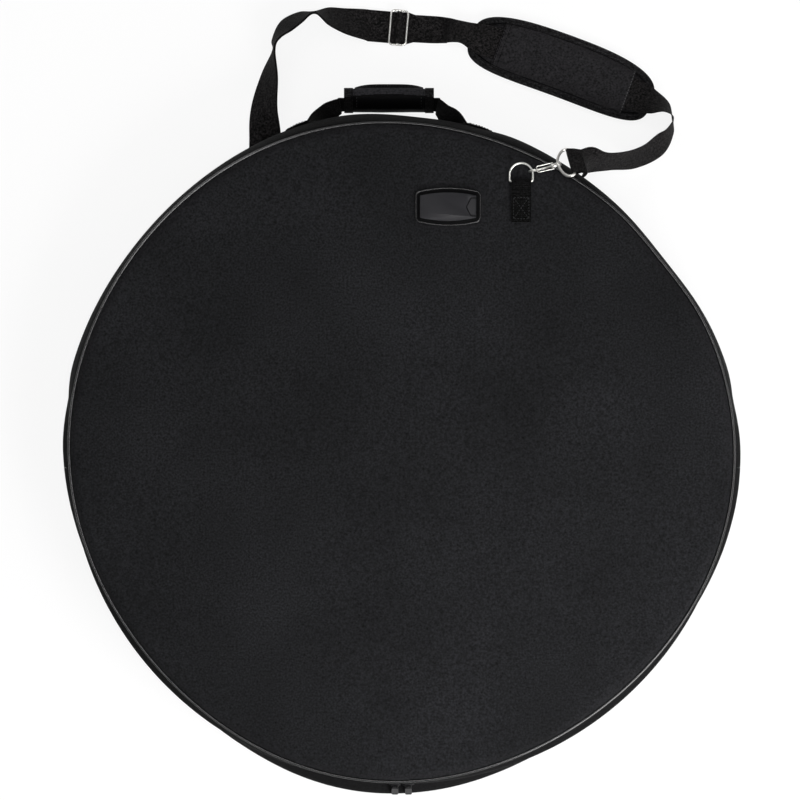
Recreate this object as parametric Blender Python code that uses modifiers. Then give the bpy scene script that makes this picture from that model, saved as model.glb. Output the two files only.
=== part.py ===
"""Round padded bag for one bicycle wheel, lying on its back panel.

The front panel looks up, along +Z. The carry handle and the shoulder strap lie towards +Y.
The frame's origin is on the floor under the middle of the bag. All sizes are in metres.
The zip runs round the lower half of the rim, from nine o'clock by six to three o'clock, and
lets the lower half of the front fold up as a flap. Places that follow the bag's outline are
shares of its radius.
"""

import math

import bmesh
import bpy
from mathutils import Matrix, Vector

COLLECTION_NAME = "bike_wheel_bag"

# The bag's overall sizes
BAG_RADIUS = 0.3856
BAG_DEPTH = 0.088
GAP = 0.0003

# The rim is a little out of round: shares of the radius for 1, 2, 3, 4 and 5 waves a turn
OUTLINE_COS_SHARES = (-0.005, 0.005, 0.007, 0.006, -0.002)
OUTLINE_SIN_SHARES = (0.0, -0.007, 0.003, 0.0, -0.001)

# How far the side band swells past the piped seam, and its waves as shares of that swell
SWELL = 0.0122
SWELL_COS_SHARES = (0.0, -0.23, 0.0, 0.26, 0.0)
SWELL_SIN_SHARES = (0.0, 0.0, 0.06, -0.07, 0.0)
LOWER_SWELL_EXTRA = 0.0022
UPPER_SWELL_POWER = 0.6

# The sewn handle flattens the swell between its two ends
HANDLE_DIP = 0.0046
HANDLE_DIP_DEG = 86.5
HANDLE_DIP_REACH_DEG = 9.5

# Cloth, foam and lining
CLOTH = 0.0012
FOAM = 0.003
LINING = 0.0008
SIDE_FOAM = 0.003

# The panels' edges curl away from the floor and from the front face
RIM_RISE = 0.005
RIM_DROP = 0.0028
BACK_RING_SHARES = (0.93, 0.85)
BACK_RISE_SHARES = (0.4, 0.0)
FRONT_RING_SHARES = (0.96, 0.9)
FRONT_DROP_SHARES = (0.35, 0.0)
BEAD_RADIUS = 0.002
BEAD_PROUD = 0.0008

# The zip is a true circle, so that its sliders can run round it
ZIP_OUTSET = 0.0067
ZIP_HEIGHT = 0.058
ZIP_END_DEG = 3.0
ZIP_END_PLAY_DEG = 0.15
ZIP_FLAT_REACH = 0.012
ZIP_CLOTH_REACH = 0.0065
ZIP_TAPE_REACH = 0.011
ZIP_TAPE_THICKNESS = 0.0008
COIL_WIDTH = 0.0022
COIL_HEIGHT = 0.0021
COIL_SPLIT = 0.0012
SLIDER_LENGTH = 0.014
SLIDER_PLATE = 0.0016
SLIDER_FRONT_REACH = 0.005
SLIDER_BACK_REACH = 0.004
SLIDER_NECK = 0.0008
SLIDER_PLAY = 0.0006
SLIDER_SPACING = 0.0015
BAIL_POST = 0.0012
BAIL_BAR = 0.0014
PULL_EYE_WALL = 0.0011
PULL_EYE_WIDTH = 0.0042
PULL_LENGTH = 0.03
PULL_WIDTH = 0.008
PULL_THICKNESS = 0.0014
PULL_ROOM = 0.0008
PATCH_WIDTH = 0.034
PATCH_HEIGHT = 0.029
PATCH_THICKNESS = 0.0013

# Rows of the side band between the two seams
CREST_HEIGHT_SHARE = 0.51
LOW_ROW_HEIGHT_SHARE = 0.21
LOW_ROW_SHARE = 0.72
SHOULDER_HEIGHT_SHARE = 0.34
SHOULDER_SHARE = 0.35
UPPER_BLEND_DEG = 15.0
UPPER_COLUMNS = 21
LOWER_COLUMNS = 40
FOAM_COLUMNS = 20

# The carry handle on the upper rim, drooping to the floor
HANDLE_X_SHARE = -0.036
HANDLE_AXIS_HEIGHT = 0.045
HANDLE_AXIS_INSET = 0.0062
HANDLE_DROOP_DEG = 45.0
HANDLE_RISE = 0.0397
HANDLE_SPAN = 0.184
HANDLE_SETBACK = 0.0035
HANDLE_WEBBING_WIDTH = 0.026
HANDLE_WEBBING_THICKNESS = 0.0026
# Each leg from the grip to the bag: reach past the grip and rise as shares, lean in degrees
HANDLE_LEG_SHARES = (
    (0.12, 0.88, 50),
    (0.36, 0.60, 48),
    (0.62, 0.33, 36),
    (0.86, 0.13, 16),
)
GRIP_LENGTH = 0.11
GRIP_WIDTH = 0.032
GRIP_THICKNESS = 0.021
GRIP_PLAY = 0.0006
GRIP_SIDES = 16
WRAP_FLAP_THICKNESS = 0.0016
WRAP_FLAP_LENGTH = 0.084
WRAP_FLAP_FOLD_DEG = 195.0
WRAP_FLAP_END_DEG = 50.0
GRIP_BINDING_WIDTH = 0.0105
GRIP_BINDING_THICKNESS = 0.0012
ANCHOR_LENGTH = 0.03
ANCHOR_ROOM = 0.001

# D-rings and the webbing tabs that hold them
TAB_WIDTH = 0.023
TAB_LENGTH = 0.048
TAB_THICKNESS = 0.0013
TAB_LAP = 0.012
RING_WIRE = 0.0013
RING_CLEARANCE = 0.0008
RING_STRAIGHT = 0.0073
RING_DEPTH = 0.021
RING_CORNER = 0.0018
FRONT_RING_X_SHARE = 0.3605
FRONT_RING_Y_SHARE = 0.8156
FRONT_HOLD_DEG = 20.0

# The wire snap hooks at the two ends of the shoulder strap
HOOK_WIRE = 0.00125
HOOK_EYE_HEIGHT = 0.0075
HOOK_REACH = 0.0313
HOOK_THROAT = 0.0135
HOOK_NOSE = 0.0033
HOOK_TIP_ROOM = 0.0009
HOOK_FLOOR_ROOM = 0.0004
HOOK_PANEL_ROOM = 0.00065
BARREL_LENGTH = 0.0065
BARREL_RADIUS = 0.0027
COLLAR_RADIUS = 0.0034
COLLAR_LENGTH = 0.0036
PIN_RADIUS = 0.0014
PIN_HEAD_RADIUS = 0.0025
PIN_HEAD_LENGTH = 0.0014
LOOP_DEPTH = 0.016
LOOP_SIDE_ROOM = 0.0019
LOOP_SHOULDER = 0.0055
GATE_WIRE = 0.0006
GATE_LENGTH = 0.0195
FRONT_HOOK_YAW_DEG = 17.0
FRONT_HOOK_PITCH_DEG = 8.0
FRONT_LOOP_ROLL_DEG = -28.0

# The card holder
CARD_X_SHARE = 0.1406
CARD_Y_SHARE = 0.7414
HOLDER_WIDTH = 0.077
HOLDER_HEIGHT = 0.045
HOLDER_BULGE = 0.0035
HOLDER_CORNER = 0.007
HOLDER_BORDER = 0.0055
HOLDER_BASE = 0.0008
HOLDER_FRAME = 0.0011
HOLDER_WALL = 0.0042
WINDOW_THICKNESS = 0.0006
CARD_THICKNESS = 0.0005
CARD_TUCK = 0.0008

# The shoulder strap
STRAP_WIDTH = 0.038
STRAP_THICKNESS = 0.0014
STRAP_FOLD = 0.014
STRAP_STEPS = 4
BACK_STRAP_X_SHARE = -0.428
BACK_LOOP_Y_SHARE = 0.79
RECESS_DEPTH = 0.014
RECESS_SIDE_ROOM = 0.003
RECESS_END_ROOM = 0.006
RECESS_SLOPE = 0.037
RECESS_HALF_SHARE = 0.55
RECESS_RIM_SHARE = 0.38

# The left route, from under the rim to the slider: x and y as shares, then the roll
LEFT_ROUTE_SHARES = (
    (-0.428, 0.865, 0),
    (-0.428, 0.912, 0),
    (-0.430, 0.975, 0),
    (-0.430, 1.068, -34),
    (-0.413, 1.163, -59),
    (-0.398, 1.243, -86),
    (-0.389, 1.276, -75),
    (-0.357, 1.317, -58),
    (-0.314, 1.343, -64),
    (-0.272, 1.357, -80),
    (-0.227, 1.347, -52),
    (-0.178, 1.335, -34),
    (-0.116, 1.327, -12),
)
# The right route, from the pad to the front hook: x, y, lift of the low edge, roll
RIGHT_ROUTE_SHARES = (
    (0.824, 1.063, 0.004, -64),
    (0.843, 1.029, 0.0, -86),
    (0.834, 0.989, 0.0, -72),
    (0.802, 0.948, 0.002, -54),
    (0.738, 0.912, 0.03, -50),
    (0.663, 0.901, 0.085, -47),
    (0.588, 0.894, 0.158, -38),
)
STRAP_SLIDER_X_SHARE = -0.0099
STRAP_SLIDER_Y_SHARE = 1.3174
STRAP_SLIDER_YAW_DEG = -5.0
SLIDER_RUN_BEFORE = 0.024
SLIDER_RUN_AFTER = 0.043
STRAP_SLIDER_DEPTH = 0.023
STRAP_SLIDER_WIRE = 0.0013
STRAP_SLIDER_CORNER = 0.004
BAR_LOOP_THICKNESS = 0.0013

# The shoulder pad
PAD_X_SHARE = 0.5003
PAD_Y_SHARE = 1.1935
PAD_YAW_DEG = -20.0
PAD_LENGTH = 0.232
PAD_WIDTH = 0.074
PAD_POWER = 3.5
PAD_POINTS = 36
PAD_LINING = 0.0008
PAD_FOAM = 0.0056
PAD_COVER = 0.0008
PAD_BINDING = 0.004
PAD_SLEEVE = 0.001
PAD_SLEEVE_LENGTH = 0.162
PAD_SLEEVE_SEAM = 0.005
PAD_SLIDE = 0.02
PAD_RUN_ROOM = 0.003
PAD_BEVEL = 0.0012

# Places worked out from the sizes above
BACK_BEAD_HEIGHT = RIM_RISE + BEAD_RADIUS
FRONT_BEAD_HEIGHT = BAG_DEPTH - RIM_DROP + BEAD_PROUD - BEAD_RADIUS
SIDE_LOW = BACK_BEAD_HEIGHT + BEAD_RADIUS + GAP
SIDE_HIGH = FRONT_BEAD_HEIGHT - BEAD_RADIUS - GAP
ZIP_RADIUS = BAG_RADIUS + ZIP_OUTSET
ZIP_FLAT_LOW = ZIP_HEIGHT - ZIP_FLAT_REACH
ZIP_FLAT_HIGH = ZIP_HEIGHT + ZIP_FLAT_REACH
LOW_ROW_HEIGHT = SIDE_LOW + LOW_ROW_HEIGHT_SHARE * (ZIP_FLAT_LOW - SIDE_LOW)
CREST_HEIGHT = SIDE_LOW + CREST_HEIGHT_SHARE * (ZIP_FLAT_LOW - SIDE_LOW)
SHOULDER_HEIGHT = ZIP_FLAT_HIGH + SHOULDER_HEIGHT_SHARE * (SIDE_HIGH - ZIP_FLAT_HIGH)
HINGE_Y = -ZIP_RADIUS * math.sin(math.radians(ZIP_END_DEG))
PANEL_INSET = BEAD_RADIUS + GAP
UPPER_START = -ZIP_END_DEG
UPPER_END = 180 + ZIP_END_DEG
TAB_STACK = GAP + TAB_THICKNESS + GAP + RING_WIRE
RING_HALF_WIDTH = TAB_WIDTH / 2 + RING_CLEARANCE + RING_WIRE
RING_ARC_DEPTH = RING_DEPTH - RING_STRAIGHT
HOOK_HALF_HEIGHT = HOOK_EYE_HEIGHT / 2 + HOOK_WIRE
HOOK_HOLD_DROP = HOOK_EYE_HEIGHT / 2 - HOOK_TIP_ROOM - RING_WIRE
STRAP_FLOOR = GAP + STRAP_THICKNESS / 2
LOOP_HALF_WIDTH = STRAP_WIDTH / 2 + LOOP_SIDE_ROOM
FOLD_RADIUS = HOOK_WIRE + GAP + STRAP_THICKNESS / 2
LAYER_OFFSET = (STRAP_THICKNESS + GAP) / 2
PAD_TOP = GAP + PAD_LINING + GAP + PAD_FOAM + GAP + PAD_COVER
PAD_STRAP_HEIGHT = PAD_TOP + GAP + STRAP_THICKNESS / 2
HOLDER_TOP = BAG_DEPTH + GAP + HOLDER_BASE
CARD_HEIGHT = HOLDER_TOP + GAP
WINDOW_HEIGHT = CARD_HEIGHT + CARD_THICKNESS + GAP
BACK_HOOK_HEIGHT = HOOK_HALF_HEIGHT + HOOK_WIRE + HOOK_FLOOR_ROOM

parts = None
cutters = None
materials = {}


def clear_scene():
    """Remove whatever the file holds, and make the two collections."""
    global parts, cutters
    for item in list(bpy.data.objects):
        bpy.data.objects.remove(item, do_unlink=True)
    parts = bpy.data.collections.new(COLLECTION_NAME)
    cutters = bpy.data.collections.new("cutters")
    for group in (parts, cutters):
        bpy.context.scene.collection.children.link(group)


def add_material(name, color, roughness, metallic=0.0):
    """One Principled material, kept by name."""
    item = bpy.data.materials.new(name)
    item.use_nodes = True
    shader = item.node_tree.nodes["Principled BSDF"]
    shader.inputs["Base Color"].default_value = (*color, 1.0)
    shader.inputs["Roughness"].default_value = roughness
    shader.inputs["Metallic"].default_value = metallic
    materials[name] = item


def make_materials():
    add_material("black_cloth", (0.014, 0.014, 0.016), 0.85)
    add_material("black_lining", (0.02, 0.02, 0.022), 0.7)
    add_material("grey_foam", (0.12, 0.12, 0.13), 0.95)
    add_material("black_webbing", (0.02, 0.018, 0.016), 0.9)
    add_material("black_piping", (0.03, 0.03, 0.032), 0.35)
    add_material("black_vinyl", (0.02, 0.02, 0.021), 0.45)
    add_material("clear_window", (0.07, 0.07, 0.075), 0.15)
    add_material("dark_card", (0.05, 0.05, 0.055), 0.6)
    add_material("black_zip", (0.012, 0.012, 0.013), 0.5)
    add_material("bright_nickel", (0.72, 0.71, 0.69), 0.22, 1.0)
    add_material("pad_cloth", (0.025, 0.024, 0.025), 0.8)


def add_mesh(name, bm, material, matrix=None, smooth=False):
    """Make a named object from a bmesh, placed by its own matrix."""
    bmesh.ops.recalc_face_normals(bm, faces=bm.faces[:])
    if bm.calc_volume(signed=True) < 0:
        bmesh.ops.reverse_faces(bm, faces=bm.faces[:])
    mesh = bpy.data.meshes.new(name)
    bm.to_mesh(mesh)
    bm.free()
    if smooth:
        mesh.shade_smooth()
    mesh.materials.append(materials[material])
    item = bpy.data.objects.new(name, mesh)
    parts.objects.link(item)
    if matrix is not None:
        item.matrix_world = matrix
    return item


def surface_grid(columns, rows, place):
    """A sheet of quads whose corner (column, row) lies where place says."""
    bm = bmesh.new()
    bmesh.ops.create_grid(bm, x_segments=columns, y_segments=rows, size=1)
    for vert in bm.verts:
        column = round((vert.co.x + 1) * columns / 2)
        row = round((vert.co.y + 1) * rows / 2)
        vert.co = place(column, row)
    return bm


def thicken(bm, shift):
    """Turn an open sheet into a closed solid: the copied side moves by shift(point)."""
    result = bmesh.ops.extrude_face_region(bm, geom=bm.faces[:])
    for item in result["geom"]:
        if isinstance(item, bmesh.types.BMVert):
            item.co += shift(item.co.copy())
    return bm


def upward(thickness):
    return lambda point: Vector((0, 0, thickness))


def outward(thickness):
    """A shift away from the bag's axis."""
    return lambda point: Vector((point.x, point.y, 0)).normalized() * thickness


def outline_prism(points, low, high):
    """A closed plate with the given plan outline between two heights."""
    bm = bmesh.new()
    bm.faces.new([bm.verts.new((x, y, low)) for x, y in points])
    return thicken(bm, upward(high - low))


def ring_prism(outer, inner, low, high):
    """A closed plate with a hole: both outlines have as many points."""
    count = len(outer)

    def place(column, row):
        x, y = (outer, inner)[row][column % count]
        return (x, y, low)

    bm = surface_grid(count, 1, place)
    bmesh.ops.remove_doubles(bm, verts=bm.verts[:], dist=GAP / 10)
    return thicken(bm, upward(high - low))


def box_mesh(low, high):
    """A closed box between two corners."""
    bm = bmesh.new()
    low, high = Vector(low), Vector(high)
    size = high - low
    bmesh.ops.create_cube(bm, size=1)
    bmesh.ops.scale(bm, vec=size, verts=bm.verts[:])
    bmesh.ops.translate(bm, vec=(low + high) / 2, verts=bm.verts[:])
    return bm


def add_wire(name, points, radius, material, matrix=None, cyclic=False, fineness=1):
    """A round wire through the given points."""
    curve = bpy.data.curves.new(name, "CURVE")
    curve.dimensions = "3D"
    curve.bevel_depth = radius
    curve.bevel_resolution = fineness
    curve.use_fill_caps = True
    spline = curve.splines.new("POLY")
    spline.points.add(len(points) - 1)
    for knot, point in zip(spline.points, points):
        knot.co = (*point, 1)
    spline.use_cyclic_u = cyclic
    curve.materials.append(materials[material])
    item = bpy.data.objects.new(name, curve)
    parts.objects.link(item)
    if matrix is not None:
        item.matrix_world = matrix
    return item


def to_mesh(item):
    """Turn a curve object into a mesh object of the same name and place."""
    bpy.context.view_layer.update()
    graph = bpy.context.evaluated_depsgraph_get()
    mesh = bpy.data.meshes.new_from_object(item.evaluated_get(graph))
    bm = bmesh.new()
    bm.from_mesh(mesh)
    bmesh.ops.remove_doubles(bm, verts=bm.verts[:], dist=GAP / 10)
    bmesh.ops.recalc_face_normals(bm, faces=bm.faces[:])
    bm.to_mesh(mesh)
    bm.free()
    matrix = item.matrix_world.copy()
    name = item.name
    bpy.data.objects.remove(item, do_unlink=True)
    result = bpy.data.objects.new(name, mesh)
    parts.objects.link(result)
    result.matrix_world = matrix
    return result


def combine(base, tool, operation="UNION"):
    """Join or cut base with tool, which becomes a hidden guide."""
    parts.objects.unlink(tool)
    cutters.objects.link(tool)
    tool.hide_render = True
    tool.display_type = "WIRE"
    modifier = base.modifiers.new(operation.lower(), "BOOLEAN")
    modifier.operation = operation
    modifier.object = tool
    modifier.solver = "EXACT"


def turned(name, profile, material, matrix, steps=16):
    """A solid of revolution about local X from (place on X, radius) pairs on the axis."""
    bm = bmesh.new()
    points = [bm.verts.new((x, 0, radius)) for x, radius in profile]
    edges = [bm.edges.new(pair) for pair in zip(points, points[1:])]
    bmesh.ops.spin(
        bm,
        geom=points + edges,
        cent=(0, 0, 0),
        axis=(1, 0, 0),
        angle=math.tau,
        steps=steps,
        use_merge=True,
    )
    bmesh.ops.remove_doubles(bm, verts=bm.verts[:], dist=GAP / 10)
    return add_mesh(name, bm, material, matrix, smooth=True)


def waves(angle, cos_shares, sin_shares):
    """The sum of one to five waves a turn."""
    total = 0.0
    for order, (cos_share, sin_share) in enumerate(zip(cos_shares, sin_shares), start=1):
        total += cos_share * math.cos(order * angle) + sin_share * math.sin(order * angle)
    return total


def seam_radius(degrees):
    """Radius of the piped seams at a place round the rim."""
    angle = math.radians(degrees)
    return BAG_RADIUS * (1 + waves(angle, OUTLINE_COS_SHARES, OUTLINE_SIN_SHARES))


def swell(degrees):
    angle = math.radians(degrees)
    away = ((degrees - HANDLE_DIP_DEG) / HANDLE_DIP_REACH_DEG) ** 2
    dip = HANDLE_DIP * math.exp(-away)
    return SWELL * (1 + waves(angle, SWELL_COS_SHARES, SWELL_SIN_SHARES)) - dip


def blend(low, high, share):
    return low + (high - low) * share


def smooth_share(share):
    share = min(max(share, 0.0), 1.0)
    return share * share * (3 - 2 * share)


def lower_side(degrees, height):
    """The side band with the zip: it swells near the floor and is round at the zip."""
    seam = seam_radius(degrees)
    crest = seam + swell(degrees) + LOWER_SWELL_EXTRA
    rows = (
        (SIDE_LOW, seam),
        (LOW_ROW_HEIGHT, blend(seam, crest, LOW_ROW_SHARE)),
        (CREST_HEIGHT, crest),
        (ZIP_FLAT_LOW, ZIP_RADIUS),
        (ZIP_FLAT_HIGH, ZIP_RADIUS),
        (SHOULDER_HEIGHT, blend(seam, ZIP_RADIUS, 1 - SHOULDER_SHARE)),
        (SIDE_HIGH, seam),
    )
    height = min(max(height, SIDE_LOW), SIDE_HIGH)
    for (low, start), (high, end) in zip(rows, rows[1:]):
        if height <= high:
            return blend(start, end, (height - low) / (high - low))
    return seam


def upper_side(degrees, height):
    """The plain side band: one even swell between the seams."""
    share = min(max((height - SIDE_LOW) / (SIDE_HIGH - SIDE_LOW), 0.0), 1.0)
    hump = math.sin(math.pi * share) ** UPPER_SWELL_POWER if 0 < share < 1 else 0.0
    return seam_radius(degrees) + swell(degrees) * hump


def side_radius(degrees, height):
    """Outer radius of the side band."""
    turn = (degrees + 90) % 360 - 90
    into_upper = min(turn, 180 - turn) / UPPER_BLEND_DEG
    share = smooth_share(into_upper)
    return blend(lower_side(degrees, height), upper_side(degrees, height), share)


def polar(radius, degrees, height=0.0):
    angle = math.radians(degrees)
    return Vector((radius * math.cos(angle), radius * math.sin(angle), height))


def spread(start, end, count):
    return [blend(start, end, index / count) for index in range(count + 1)]


UPPER_SPOKES = spread(UPPER_START, UPPER_END, UPPER_COLUMNS)
LOWER_SPOKES = spread(UPPER_END, 360 + UPPER_START, LOWER_COLUMNS)
FLAP_SPOKES = (
    [LOWER_SPOKES[0] + ZIP_END_PLAY_DEG] + LOWER_SPOKES[1:-1] + [LOWER_SPOKES[-1] - ZIP_END_PLAY_DEG]
)
ALL_SPOKES = UPPER_SPOKES + LOWER_SPOKES[1:-1]


def recess_lines():
    """The flat roof of the hollow over the back ring and hook, and its place."""
    middle = BACK_STRAP_X_SHARE * BAG_RADIUS
    half = LOOP_HALF_WIDTH + HOOK_WIRE + RECESS_SIDE_ROOM
    top = BACK_LOOP_Y_SHARE * BAG_RADIUS + FOLD_RADIUS + RECESS_END_ROOM
    bottom = back_ring_origin().y - TAB_LENGTH - RECESS_END_ROOM
    return middle, half, bottom, top


def recess_lift(x, y):
    """Height of the hollow that the back ring, hook and strap end lie in."""
    middle, half, bottom, top = recess_lines()
    away = abs(x - middle) - half
    across = 1 - max(away, 0.0) / RECESS_SLOPE
    if across < 1:
        across = min(across, 1 - (1 - RECESS_HALF_SHARE) * 2 * max(away, 0.0) / RECESS_SLOPE)
    along = 1.0
    if y < bottom:
        along = 1 - (bottom - y) / RECESS_SLOPE
    if y > top:
        along = max(1 - (y - top) / RECESS_SLOPE, RECESS_RIM_SHARE)
    return RECESS_DEPTH * max(across, 0.0) * max(along, 0.0)


def rim_curl(x, y, ring_shares, curl_shares, amount):
    """How far a panel's edge curls, from its inner ring to its rim."""
    degrees = math.degrees(math.atan2(y, x))
    share = math.hypot(x, y) / (seam_radius(degrees) - PANEL_INSET)
    knots = [(ring_shares[1], curl_shares[1]), (ring_shares[0], curl_shares[0]), (1.0, 1.0)]
    if share <= knots[0][0]:
        return 0.0
    for (low, start), (high, end) in zip(knots, knots[1:]):
        if share <= high:
            return amount * blend(start, end, (share - low) / (high - low))
    return amount


def back_height(x, y):
    curl = rim_curl(x, y, BACK_RING_SHARES, BACK_RISE_SHARES, RIM_RISE)
    return max(curl, recess_lift(x, y))


def front_drop(x, y):
    return rim_curl(x, y, FRONT_RING_SHARES, FRONT_DROP_SHARES, RIM_DROP)


def panel_sheet(ring_shares):
    """A flat round sheet with the bag's outline and rings that follow it."""
    bm = bmesh.new()
    rim = [bm.verts.new(polar(seam_radius(a) - PANEL_INSET, a)) for a in ALL_SPOKES]
    edges = [bm.edges.new((a, b)) for a, b in zip(rim, rim[1:] + rim[:1])]
    last_share = 1.0
    for share in ring_shares:
        result = bmesh.ops.extrude_edge_only(bm, edges=edges)["geom"]
        verts = [item for item in result if isinstance(item, bmesh.types.BMVert)]
        edges = [item for item in result if isinstance(item, bmesh.types.BMEdge)]
        shrink = share / last_share
        bmesh.ops.scale(bm, vec=(shrink, shrink, 1), verts=verts)
        last_share = share
    edges = [item for item in edges if item.is_boundary]
    bmesh.ops.contextual_create(bm, geom=edges)
    return bm


def cut_sheet(bm, point, normal, clear_inner=False):
    """Cut a sheet along a plane, and drop the side behind it if asked."""
    geometry = bm.verts[:] + bm.edges[:] + bm.faces[:]
    bmesh.ops.bisect_plane(
        bm, geom=geometry, dist=GAP / 10, plane_co=point, plane_no=normal, clear_inner=clear_inner
    )


def back_layer(name, low, thickness, material):
    """One layer of the back panel, with the hollow for the strap's end."""
    bm = panel_sheet(BACK_RING_SHARES)
    middle, half, bottom, top = recess_lines()
    for reach in (half, half + RECESS_SLOPE / 2, half + RECESS_SLOPE):
        cut_sheet(bm, (middle - reach, 0, 0), (1, 0, 0))
        cut_sheet(bm, (middle + reach, 0, 0), (1, 0, 0))
    for place in (bottom - RECESS_SLOPE, bottom, top):
        cut_sheet(bm, (0, place, 0), (0, 1, 0))
    for vert in bm.verts:
        vert.co.z = back_height(vert.co.x, vert.co.y) + low
    bmesh.ops.triangulate(bm, faces=bm.faces[:])
    add_mesh(name, thicken(bm, upward(thickness)), material)


def front_layer(name, top, thickness, material, keep_flap):
    """One layer of the front panel, above or below the line where the flap folds."""
    bm = panel_sheet(FRONT_RING_SHARES)
    side = -1 if keep_flap else 1
    cut_sheet(bm, (0, HINGE_Y + side * GAP, 0), (0, side, 0), clear_inner=True)
    for vert in bm.verts:
        vert.co.z = top - front_drop(vert.co.x, vert.co.y)
    bmesh.ops.triangulate(bm, faces=bm.faces[:])
    add_mesh(name, thicken(bm, upward(-thickness)), material)


def side_layer(name, spokes, rows, depth, thickness, material):
    """A layer of the side band: depth is how far its outer face lies under the surface."""

    def place(column, row):
        degrees, height = spokes[column], rows[row]
        return polar(side_radius(degrees, height) - depth, degrees, height)

    bm = surface_grid(len(spokes) - 1, len(rows) - 1, place)
    add_mesh(name, thicken(bm, outward(-thickness)), material)


def make_panels():
    second = CLOTH + GAP
    third = second + FOAM + GAP
    back_layer("back_panel", 0, CLOTH, "black_cloth")
    back_layer("back_panel_foam", second, FOAM, "grey_foam")
    back_layer("back_panel_lining", third, LINING, "black_lining")
    for prefix, keep_flap in (("front_panel", False), ("flap_panel", True)):
        front_layer(prefix, BAG_DEPTH, CLOTH, "black_cloth", keep_flap)
        front_layer(prefix + "_foam", BAG_DEPTH - second, FOAM, "grey_foam", keep_flap)
        front_layer(prefix + "_lining", BAG_DEPTH - third, LINING, "black_lining", keep_flap)


def make_side_band():
    zip_low, zip_high = ZIP_FLAT_LOW, ZIP_FLAT_HIGH
    cloth_low = ZIP_HEIGHT - ZIP_CLOTH_REACH
    cloth_high = ZIP_HEIGHT + ZIP_CLOTH_REACH
    foam_depth = CLOTH + GAP
    full = (SIDE_LOW, LOW_ROW_HEIGHT, CREST_HEIGHT, zip_low, zip_high, SHOULDER_HEIGHT, SIDE_HIGH)
    side_layer("side_band_upper", UPPER_SPOKES, full, 0, CLOTH, "black_cloth")
    foam_rows = full[1:-1]
    side_layer("side_foam_upper", UPPER_SPOKES, foam_rows, foam_depth, SIDE_FOAM, "grey_foam")
    rear_rows = (SIDE_LOW, LOW_ROW_HEIGHT, CREST_HEIGHT, zip_low, cloth_low)
    rear_spokes = FLAP_SPOKES
    side_layer("side_band_lower", rear_spokes, rear_rows, 0, CLOTH, "black_cloth")
    rear_foam = (LOW_ROW_HEIGHT, CREST_HEIGHT, zip_low - GAP)
    foam_spokes = FLAP_SPOKES[:: LOWER_COLUMNS // FOAM_COLUMNS]
    side_layer("side_foam_lower", foam_spokes, rear_foam, foam_depth, SIDE_FOAM, "grey_foam")
    front_rows = (cloth_high, zip_high, SHOULDER_HEIGHT, SIDE_HIGH)
    side_layer("side_band_flap", FLAP_SPOKES, front_rows, 0, CLOTH, "black_cloth")


def bead_points(spokes, height):
    return [polar(seam_radius(degrees), degrees, height) for degrees in spokes]


def make_piping():
    add_wire(
        "piping_back", bead_points(ALL_SPOKES, BACK_BEAD_HEIGHT), BEAD_RADIUS, "black_piping", cyclic=True
    )
    front = bead_points(UPPER_SPOKES, FRONT_BEAD_HEIGHT)
    add_wire("piping_front", front, BEAD_RADIUS, "black_piping")
    flap = bead_points(FLAP_SPOKES, FRONT_BEAD_HEIGHT)
    add_wire("piping_flap", flap, BEAD_RADIUS, "black_piping")


def zip_layer(name, inner, thickness, low, high, material):
    """A strip that follows the zip's circle."""
    heights = (low, high)
    bm = surface_grid(
        LOWER_COLUMNS, 1, lambda column, row: polar(inner, FLAP_SPOKES[column], heights[row])
    )
    add_mesh(name, thicken(bm, outward(thickness)), material)


def zip_end_patch(name, middle):
    """The cloth patch sewn over one end of the zip."""
    half = math.degrees(PATCH_WIDTH / 2 / ZIP_RADIUS)
    rows = spread(ZIP_HEIGHT - PATCH_HEIGHT / 2, ZIP_HEIGHT + PATCH_HEIGHT / 2, 3)
    spokes = spread(middle - half, middle + half, 2)

    def place(column, row):
        degrees = spokes[column]
        height = rows[row]
        bound = max(
            side_chord(degrees, height), side_radius(degrees, height), ZIP_RADIUS
        )
        return polar(bound + GAP, degrees, height)

    bm = surface_grid(2, 3, place)
    add_mesh(name, thicken(bm, outward(PATCH_THICKNESS)), "black_cloth")


def side_chord(degrees, height):
    """The side band's radius where its flat facets lie."""
    spokes = UPPER_SPOKES
    turn = degrees
    for low, high in zip(spokes, spokes[1:]):
        if low <= turn <= high:
            first = polar(side_radius(low, height), low)
            second = polar(side_radius(high, height), high)
            along = Vector((math.cos(math.radians(turn)), math.sin(math.radians(turn)), 0))
            edge = second - first
            share_top = first.cross(along).z
            share_base = along.cross(edge).z
            return (first + edge * (share_top / share_base)).length
    return 0.0


def make_zip():
    tape_outer = ZIP_RADIUS - CLOTH - GAP
    tape_inner = tape_outer - ZIP_TAPE_THICKNESS
    near = ZIP_HEIGHT - COIL_SPLIT
    far = ZIP_HEIGHT + COIL_SPLIT
    low = ZIP_HEIGHT - ZIP_TAPE_REACH
    high = ZIP_HEIGHT + ZIP_TAPE_REACH
    zip_layer("zip_tape_bag", tape_inner, ZIP_TAPE_THICKNESS, low, near, "black_zip")
    zip_layer("zip_tape_flap", tape_inner, ZIP_TAPE_THICKNESS, far, high, "black_zip")
    coil_inner = tape_outer + GAP
    zip_layer("zip_coil_bag", coil_inner, COIL_HEIGHT, near - COIL_WIDTH, near, "black_zip")
    zip_layer("zip_coil_flap", coil_inner, COIL_HEIGHT, far, far + COIL_WIDTH, "black_zip")
    zip_end_patch("zip_end_patch_left", 180)
    zip_end_patch("zip_end_patch_right", 0)


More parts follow.
